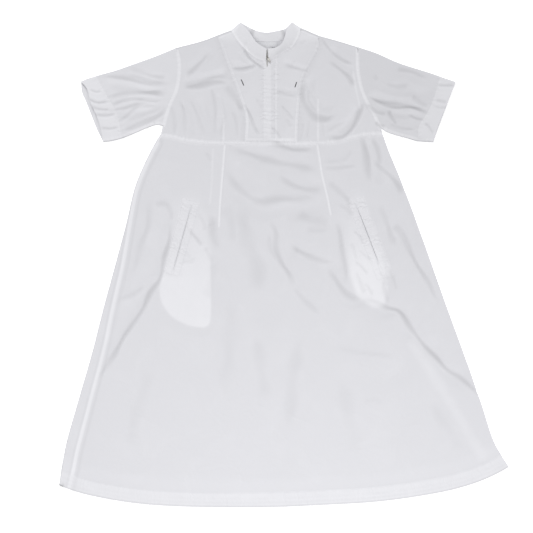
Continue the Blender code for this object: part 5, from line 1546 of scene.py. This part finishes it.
def makeSleeve(side):
    mirrored = side == "right"
    shape = sleeves[side]
    front = sleeveLayer(side, "cuffFront")
    back = sleeveLayer(side, "cuffBack")
    count, around = front.shape[:2]
    share = np.linspace(0, 1, count)[:, None]
    fromArmhole = share if mirrored else 1 - share
    across = np.linspace(0, 1, around)[None]
    x, y = front[..., 0], front[..., 1]
    fade = ease(np.minimum(across, 1 - across) / 0.07)
    form, creaseShade = sleeveForm(side, x, y)
    lift = form * (0.15 + 0.85 * fade)
    lift = lift + sleeveMesh["cuffOpening"] * ease((fromArmhole - 0.55) / 0.45) * np.sin(np.pi * across)
    lift = lift + cloth["hemRise"] * ease((fromArmhole - 0.6) / 0.2)
    height = cloth["frontLevel"] + np.maximum(lift, -0.8)
    top = np.dstack([front, height])
    lower = unit(back[:, -1] - back[:, -2])
    upper = unit(back[:, 0] - back[:, 1])
    ground = np.zeros(count)
    arcLow = turnPoints(back[:, -1], lower, ground, height[:, -1], False)
    arcTop = turnPoints(back[:, 0], upper, ground, height[:, 0], True)
    flat = groundCreases(back[:, ::-1])
    points = np.concatenate([top, arcLow, flat, arcTop, top[:, :1]], axis=1)
    plies = np.zeros(points.shape[:2])
    hemSteps = sleeveMesh["hem"]
    inHem = np.arange(count) >= count - hemSteps - 1 if mirrored else np.arange(count) <= hemSteps
    toUnder, toArm = (fromSeam(key + side.capitalize(), x, y) for key in ("under", "armhole"))
    # outside the cuff the sleeve's tone is painted light, and the cuff takes the tone of its doubled plies
    tone = (shape["tone"] + (plyTone["cuff"] - shape["tone"]) * inHem[:, None]) * np.ones_like(x)
    tone = np.maximum(tone, plyTone["underSleeve"] * ease((10.0 - toUnder) / 4))
    plies[:, :around] = np.maximum(tone, plyTone["armhole"] * ease((3.4 - toArm) / 2))
    plies[:, around:-1] = plyTone["cuff"] * inHem[:, None]
    plies[:, -1] = plies[:, 0]
    shade = np.zeros(points.shape[:2])
    shade[:, :around] = creaseShade * fade + shape["shade"]
    shade[:, around:around + cloth["rollSteps"] - 1] = finish["edgeShade"]
    shade[:, -cloth["rollSteps"]:-1] = finish["edgeShade"]
    bm = clothGrid(points, closed=True, plies=plies, shade=shade)
    piece = newObject("sleeve" + side.capitalize() + "Cloth", bm, cotton)
    thicken(piece, cloth["wall"])
    dressed(piece, "sleeve_" + side)


for side in ("left", "right"):
    makeSleeve(side)
print("sleeves ready")


# Collar

# top edges as points and heights, from the photograph's outline
collarShape = {
    "topLeft": (
        (-99, 556, 5.0), (-86, 543, 8.0), (-74, 527, 10.0), (-63, 511, 10.5),
        (-50, 501, 9.5), (-38.5, 495, 8.0)),
    "topRight": (
        (-35.3, 495, 8.0), (-19, 497, 9.5), (-5, 505, 10.5), (3, 520, 10.5),
        (8, 540, 8.0), (20, 557, 5.0)),
    "topBack": (
        (-99, 556, 0.0), (-83, 547, 2.0), (-63, 537, 4.5), (-40, 532, 6.0),
        (-14, 536, 5.0), (4, 541, 2.5), (20, 557, 0.0)),
    "wall": 1.4,
    "bow": 0.9,
    "frontSteps": 60,
    "backSteps": 70,
    "heightSteps": 16,
    "foldSteps": 8,
}


def makeCollar():
    # one doubled band from one front end round the back of the neck to the other
    n, nBack = collarShape["frontSteps"], collarShape["backSteps"]

    def onBib(key):
        line = spans(outline[key], n)
        return np.column_stack([line, bibHeight(line[:, 0], line[:, 1])])[::-1]

    left, right = onBib("neckLeft"), onBib("neckRight")
    back = np.column_stack([spans(outline["neckBack"], nBack), np.zeros(nBack + 1)])
    topLeft, topRight = (spans(collarShape[key], n)[::-1] for key in ("topLeft", "topRight"))
    topBack = spans(collarShape["topBack"], nBack)

    def folded(front, rear):
        radius = (front[0, 2] - rear[0, 2]) / 2
        runs = [unit((line[0] - line[1])[:2]) for line in (front, rear)]
        outward = unit(runs[0] + runs[1])
        points = []
        for step in range(collarShape["foldSteps"] + 1):
            angle = math.pi * step / collarShape["foldSteps"]
            inward = runs[0] + (runs[1] - runs[0]) * (1 - math.cos(angle)) / 2
            place = front[0, :2] - inward * radius + outward * radius * math.sin(angle)
            points.append((*place, rear[0, 2] + radius * (1 + math.cos(angle))))
        return np.array(points)

    def bandLine(west, rear, east):
        return np.vstack([west[:-1], folded(west[::-1], rear), rear[1:-1],
                          folded(east, rear[::-1])[::-1], east[1:]])

    seam = bandLine(left, back, right)
    top = bandLine(topLeft, topBack, topRight)
    share = np.linspace(0, 1, collarShape["heightSteps"] + 1)[None, :, None]
    points = seam[:, None] * (1 - share) + top[:, None] * share
    onFront = ease((points[..., 2] - 4.2) / 1.5)
    form, shade = frontForm(points[..., 0], points[..., 1])
    bow = collarShape["bow"] * np.sin(np.pi * share[..., 0])
    points[..., 2] += (bow + form * share[..., 0]) * onFront
    along = walked(seam)[:, None] / lengthOf(seam)
    plies = np.full(points.shape[:2], plyTone["collar"]) + 0.10 * ease((0.16 - share[..., 0]) / 0.05)
    plies = np.maximum(plies, 0.34 * ease((share[..., 0] - 0.86) / 0.04))
    plies = plies + plyTone["collarBack"] * (1 - onFront)
    inFold = ease(1 - np.abs(along - 0.395) / 0.03) + ease(1 - np.abs(along - 0.615) / 0.025)
    shade = shade * onFront + 2.0 * inFold * (1 - onFront)
    bm = clothGrid(points, plies=plies, shade=shade)
    piece = newObject("collarCloth", bm, cotton)
    thicken(piece, collarShape["wall"])
    dressed(piece, "collar")


makeCollar()
print("collar ready")


# Pockets

bagMesh = {"floor": 1.4, "top": 2.3, "wall": 0.3}
facingMesh = {"across": 24, "along": 60, "inset": 0.5, "below": 0.15, "wall": 0.3}


def makePocket(side):
    # two plies of the bag with the mouth, and the facing that lines the slit
    pocket = pockets[side]
    bottom, along, across, length = slitFrame(pocket)
    left, right = pocket["facing"]
    above, below = pocket["ends"]

    def framePoints(inset):
        corners = ((-left, -below), (right, -below), (right, length + above), (-left, length + above))
        return [bottom + across * (a - math.copysign(inset, a)) + along * (u + (inset if u < 0 else -inset))
                for a, u in corners]

    bm = bmesh.new()
    rim = [Vector((*point, bagMesh["top"])) * mm for point in framePoints(1.0)]
    line = [Vector((*point, bagMesh["floor"])) * mm for point in spans(
        np.vstack([pocket["bagSolid"], pocket["bagSolid"][:1]]), 90)[:-1]]
    floor = [bm.verts.new(point) for point in line]
    floorEdges = [bm.edges.new(pair) for pair in zip(floor, floor[1:] + floor[:1])]
    wall = bmesh.ops.extrude_edge_only(bm, edges=floorEdges)["geom"]
    lifted = [item for item in wall if isinstance(item, bmesh.types.BMVert)]
    topEdges = [item for item in wall if isinstance(item, bmesh.types.BMEdge)
                and item.verts[0] in lifted and item.verts[1] in lifted]
    bmesh.ops.translate(bm, verts=lifted, vec=(0, 0, (bagMesh["top"] - bagMesh["floor"]) * mm))
    bmesh.ops.triangle_fill(bm, use_beauty=True, edges=floorEdges)
    mouth = [bm.verts.new(point) for point in rim]
    mouthEdges = [bm.edges.new(pair) for pair in zip(mouth, mouth[1:] + mouth[:1])]
    bmesh.ops.triangle_fill(bm, use_beauty=True, edges=topEdges + mouthEdges)
    bmesh.ops.recalc_face_normals(bm, faces=bm.faces)
    for name, value in (("plies", 0.5), ("shade", 0.0), ("pucker", 0.0), ("seamRun", 0.0)):
        layer = bm.verts.layers.float.new(name)
        for vert in bm.verts:
            vert[layer] = value
    piece = newObject("pocketBag" + side.capitalize() + "Cloth", bm, cotton, smooth=False)
    thicken(piece, bagMesh["wall"])
    dressed(piece, "pocket_bag_" + side)

    inset = facingMesh["inset"]
    a = np.linspace(-left + inset, right - inset, facingMesh["across"])
    middle = int(np.argmin(np.abs(a)))
    u = np.linspace(-below + inset, length + above - inset, facingMesh["along"])
    gridA, gridU = np.meshgrid(a, u)
    plan = bottom + gridA[..., None] * across + gridU[..., None] * along
    height = skirtHeight(plan[..., 0], plan[..., 1]) - cloth["wall"] - facingMesh["below"]

    def slitHole(i, j):
        return i == middle and 2 < u[j] < length - 4

    bm = clothGrid(np.dstack([plan, height]), holes=slitHole, plies=0.6)
    piece = newObject("pocketFacing" + side.capitalize() + "Cloth", bm, cotton)
    thicken(piece, facingMesh["wall"])
    dressed(piece, "pocket_facing_" + side)


for side in ("left", "right"):
    makePocket(side)
print("pockets ready")


# Zip and labels

def cadCopy(node, name, material, bevel):
    source = next(item for item in bpy.data.objects if item.type == "MESH" and item.name == node)
    bm = bmesh.new()
    bm.from_mesh(source.data)
    bmesh.ops.transform(bm, matrix=source.matrix_world, verts=bm.verts)
    bmesh.ops.remove_doubles(bm, verts=bm.verts, dist=0.000005)
    bmesh.ops.recalc_face_normals(bm, faces=bm.faces)
    piece = newObject(name, bm, material, smooth=False)
    edge = piece.modifiers.new("edge", "BEVEL")
    edge.width = bevel * mm
    edge.segments = 2
    edge.limit_method = "ANGLE"
    return piece


def makeTape(side):
    sign = -1 if side == "left" else 1
    x = zipper["x"]
    neck = zipper["sliderY"] + zipper["sliderLength"] / 2 - zipper["sliderNeck"]
    bottom, top = zipper["tapeEnds"]
    # place up the dress, half gap between the tapes, and level
    table = np.array([(bottom, 0.1, 3.4), (neck - 4.2, 0.1, 3.4), (neck - 0.3, 0.8, 3.6),
                      (484.0, 0.7, 4.4), (top, 1.2, 6.4)])
    y = np.concatenate([np.linspace(bottom, 470, 70), np.linspace(471, top, 30)])
    inner, level = (np.interp(y, table[:, 0], table[:, k]) for k in (1, 2))
    share = np.linspace(0, 1, zipper["tapeColumns"] + 1)
    reach = inner[:, None] * (1 - share) + zipper["tapeHalf"] * share
    up, high = (np.repeat(line[:, None], len(share), 1) for line in (y, level))
    points = np.dstack([x + sign * reach, up, high])
    bm = clothGrid(points if sign > 0 else points[:, ::-1], plies=0.3, puckered=False)
    piece = newObject("zipTape" + side.capitalize() + "Cloth", bm, tapeCloth)
    thicken(piece, zipper["tapeWall"])
    dressed(piece, "zip_tape_" + side)
    return np.column_stack([x + sign * inner, y, level])


def boxAt(bm, centre, size, turn=0.0):
    matrix = (Matrix.Translation(Vector(centre) * mm) @ Matrix.Rotation(turn, 4, "Z")
              @ Matrix.Diagonal((*(Vector(size) * mm), 1.0)))
    return bmesh.ops.create_cube(bm, size=1.0, matrix=matrix)["verts"]


def makeTeeth():
    bm = bmesh.new()
    for side, edge in tapeEdges.items():
        sign = -1 if side == "left" else 1
        offset = 0.0 if side == "left" else zipper["toothPitch"] / 2
        for y in np.arange(286.0 + offset, 493.0, zipper["toothPitch"]):
            place = [np.interp(y, edge[:, 1], edge[:, k]) for k in (0, 2)]
            boxAt(bm, (place[0] + sign * 0.5, y, place[1] + 0.25), (1.8, 1.0, 1.0))
    teeth = newObject("zipTeethCoil", bm, toothPlastic, smooth=False)
    edge = teeth.modifiers.new("edge", "BEVEL")
    edge.width = 0.18 * mm
    edge.segments = 1
    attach(teeth, "dress")


tapeEdges = {side: makeTape(side) for side in ("left", "right")}
makeTeeth()
for node, name, bevel, body in (("zip_slider", "zipSliderBody", 0.12, "dress"),
                                ("zip_pull", "zipPullTab", 0.10, "pull")):
    piece = cadCopy(node, name, darkMetal, bevel)
    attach(piece, body)
    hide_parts(node)


labels = {
    # piece, its sides, its ends and its level
    "label": ("neckLabelCloth", (-60, -14), (499.3, 511), 2.2),
    "size_tag": ("sizeTagCloth", (-47, -26), (491, 499), 2.0),
}
labelMesh = {"columns": 24, "rows": 8, "wall": 0.4, "allowance": 2}


def makeLabel(node, name, sides, ends, level):
    gridX, gridY = np.meshgrid(np.linspace(*sides, labelMesh["columns"] + 1),
                               np.linspace(*ends, labelMesh["rows"] + 1))
    lift = 0.12 * np.sin(gridX / 5.0) + 0.06 * np.sin(gridY / 2.0)
    bm = clothGrid(np.dstack([gridX, gridY, level + lift]), puckered=False)
    piece = newObject(name, bm, labelCloth)
    thicken(piece, labelMesh["wall"])
    # the neck seam holds the cut's allowance, of which about half can be seen
    dressed(piece, node)


for node, shape in labels.items():
    makeLabel(node, *shape)
print("zip and labels ready")


# Stitching

stitch = {"pitch": 3.2, "length": 2.5, "radius": 0.26}
tack = {
    "places": (((241.2, 79.8), (243.8, 85.6)), ((296.6, 82.4), (294.8, 87.6))),
    "pitch": 0.55,
    "size": (1.05, 0.30, 0.32),
}


def threadAt(bm, point, turn, size, rounds):
    # one short length of thread, as half sizes along, across and up
    matrix = (Matrix.Translation(Vector(point) * mm) @ Matrix.Rotation(turn, 4, "Z")
              @ Matrix.Diagonal((*(Vector(size) * mm), 1.0)))
    bmesh.ops.create_icosphere(bm, subdivisions=rounds, radius=1.0, matrix=matrix)


def stitchRow(bm, path, heightAt, start=2.0, end=2.0):
    pitch, length, radius = stitch["pitch"], stitch["length"], stitch["radius"]
    total = lengthOf(path)
    places = np.arange(start + pitch / 2, total - end, pitch)
    points = atLengths(path, places)
    ahead, behind = np.minimum(places + 0.5, total), np.maximum(places - 0.5, 0)
    heading = atLengths(path, ahead) - atLengths(path, behind)
    height = heightAt(points[:, 0], points[:, 1]) + radius * 0.35
    for point, run, z in zip(points, heading, height):
        threadAt(bm, (*point, z), math.atan2(run[1], run[0]), (length / 2, radius, radius), 1)


def beside(path, distance):
    # a line on the left side of a path, at that distance
    return path + leftNormals(path) * distance


def bodiceHeight(x, y):
    return cloth["frontLevel"] + frontForm(x, y)[0]


def makeStitches():
    bm = bmesh.new()
    # seam, place on its left side, surface, and the lengths left bare at its start and end
    rows = [("waist", -3.0, skirtHeight, 6, 6), ("waist", -6.2, skirtHeight, 6, 6),
            ("armholeLeft", -5.2, bodiceHeight, 2, 2), ("armholeRight", 5.2, bodiceHeight, 2, 2)]
    for offset in (2.2, 7.0):
        rows += [("bibEdgeLeft", -offset, bibHeight, 3, 8), ("bibEdgeRight", offset, bibHeight, 3, 8)]
    rows += [("placketLeft", 0.0, bibHeight, 2, 2), ("placketRight", 0.0, bibHeight, 2, 2),
             ("neckLeft", -2.6, bibHeight, 8, 6), ("neckRight", -2.6, bibHeight, 6, 8),
             ("dartLeft", 3.0, skirtHeight, 2, 2), ("dartRight", 3.0, skirtHeight, 2, 2)]
    for name, offset, heightAt, start, end in rows:
        stitchRow(bm, beside(seamLines[name], offset), heightAt, start, end)
    stitchRow(bm, beside(hemLine, cloth["hemDepth"] - 1.5), skirtHeight, 30, 6)
    stitchRow(bm, beside(smoothLine(outline["waistBib"]), 2.4), bibHeight)
    for pocket in pockets.values():
        bottom, along, across, size = slitFrame(pocket)
        above, below = pocket["ends"]
        left, right = pocket["facing"]
        low, high = 2 - below, size + above - 2
        west, east = 2 - left, right - 2
        lines = [((a, low), (a, high)) for a in (west, -2.6, 2.6, east)]
        lines += [((west, u), (east, u)) for u in (low, high)]
        for line in lines:
            path = np.array([bottom + across * a + along * u for a, u in line])
            stitchRow(bm, path, skirtHeight)
    piece = newObject("dressStitches", bm, thread)
    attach(piece, "dress")


def makeTacks():
    # close dark stitches that hold each bib edge
    bm = bmesh.new()
    for ends in tack["places"]:
        path = fromPhoto(ends)
        run = path[1] - path[0]
        points = atLengths(path, np.arange(0.3, lengthOf(path), tack["pitch"]))
        height = bibHeight(points[:, 0], points[:, 1]) + 0.25
        for k, (point, z) in enumerate(zip(points, height)):
            turn = math.atan2(run[1], run[0]) + math.pi / 2 + 0.12 * math.sin(k * 2.1)
            threadAt(bm, (*point, z), turn, tack["size"], 2)
    piece = newObject("barTacks", bm, tackThread)
    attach(piece, "dress")


makeStitches()
makeTacks()
print("stitching ready")


# Light, surface and camera

studio = {
    "cameraHeight": 3.2,
    "sensor": 36.0,
    "sunStrength": 1.40,
    "sunTilt": 48.0,        # degrees from straight down, coming from beyond the collar
    "sunTurn": -12.0,
    "sunSoftness": 22.0,
    "sky": 0.60,
    "fillSize": 1.2,
    "fill": (4.6, (0.10, -0.88, 0.98), (0.06, -0.38, 0.0)),     # power, place, target
    "side": (1.3, (-1.0, 0.45, 0.9), (-0.2, 0.35, 0.0)),
    "floorColour": (0.93, 0.93, 0.93),
    "floorGlow": 0.40,
    "floorDepth": 0.0002,
}


def aimed(name, light, location, target):
    lamp = bpy.data.objects.new(name, light)
    lamp.location = location
    lamp.rotation_euler = (Vector(target) - Vector(location)).to_track_quat("-Z", "Y").to_euler()
    bpy.context.scene.collection.objects.link(lamp)
    return lamp


def makeStudio():
    scene = bpy.context.scene
    scene.view_settings.view_transform = "Standard"
    world = bpy.data.worlds.new("studio")
    world.use_nodes = True
    world.node_tree.nodes["Background"].inputs["Color"].default_value = (1, 1, 1, 1)
    world.node_tree.nodes["Background"].inputs["Strength"].default_value = studio["sky"]
    scene.world = world

    key = bpy.data.lights.new("key", "SUN")
    key.energy = studio["sunStrength"]
    key.angle = math.radians(studio["sunSoftness"])
    tilt, turn = math.radians(studio["sunTilt"]), math.radians(studio["sunTurn"])
    direction = Vector((math.sin(tilt) * math.sin(turn), math.sin(tilt) * math.cos(turn), math.cos(tilt)))
    aimed("key", key, direction * 3, (0, 0, 0))

    for name in ("fill", "side"):
        power, place, target = studio[name]
        fill = bpy.data.lights.new(name + "Light", "AREA")
        fill.energy = power
        fill.size = studio["fillSize"]
        aimed(name + "Light", fill, place, target)

    bm = bmesh.new()
    bmesh.ops.create_grid(bm, x_segments=2, y_segments=2, size=4.0)
    bmesh.ops.translate(bm, verts=bm.verts, vec=(0, 0, -studio["floorDepth"]))
    material = bpy.data.materials.new("paper")
    material.use_nodes = True
    shader = material.node_tree.nodes["Principled BSDF"]
    shader.inputs["Base Color"].default_value = (*studio["floorColour"], 1)
    shader.inputs["Roughness"].default_value = 0.9
    shader.inputs["Emission Color"].default_value = (1, 1, 1, 1)
    shader.inputs["Emission Strength"].default_value = studio["floorGlow"]
    floor = newObject("clothFloor", bm, material, smooth=False)

    lens = bpy.data.cameras.new("camera")
    width = photo["size"] * photo["millimetresPerPixel"] * mm
    lens.sensor_width = studio["sensor"]
    lens.lens = studio["sensor"] * studio["cameraHeight"] / width
    lens.clip_end = 20
    camera = bpy.data.objects.new("camera", lens)
    middle = fromPhoto(((photo["size"] / 2, photo["size"] / 2),))[0] * mm
    camera.location = (middle[0], middle[1], studio["cameraHeight"])
    scene.collection.objects.link(camera)
    scene.camera = camera


makeStudio()
print("studio ready")
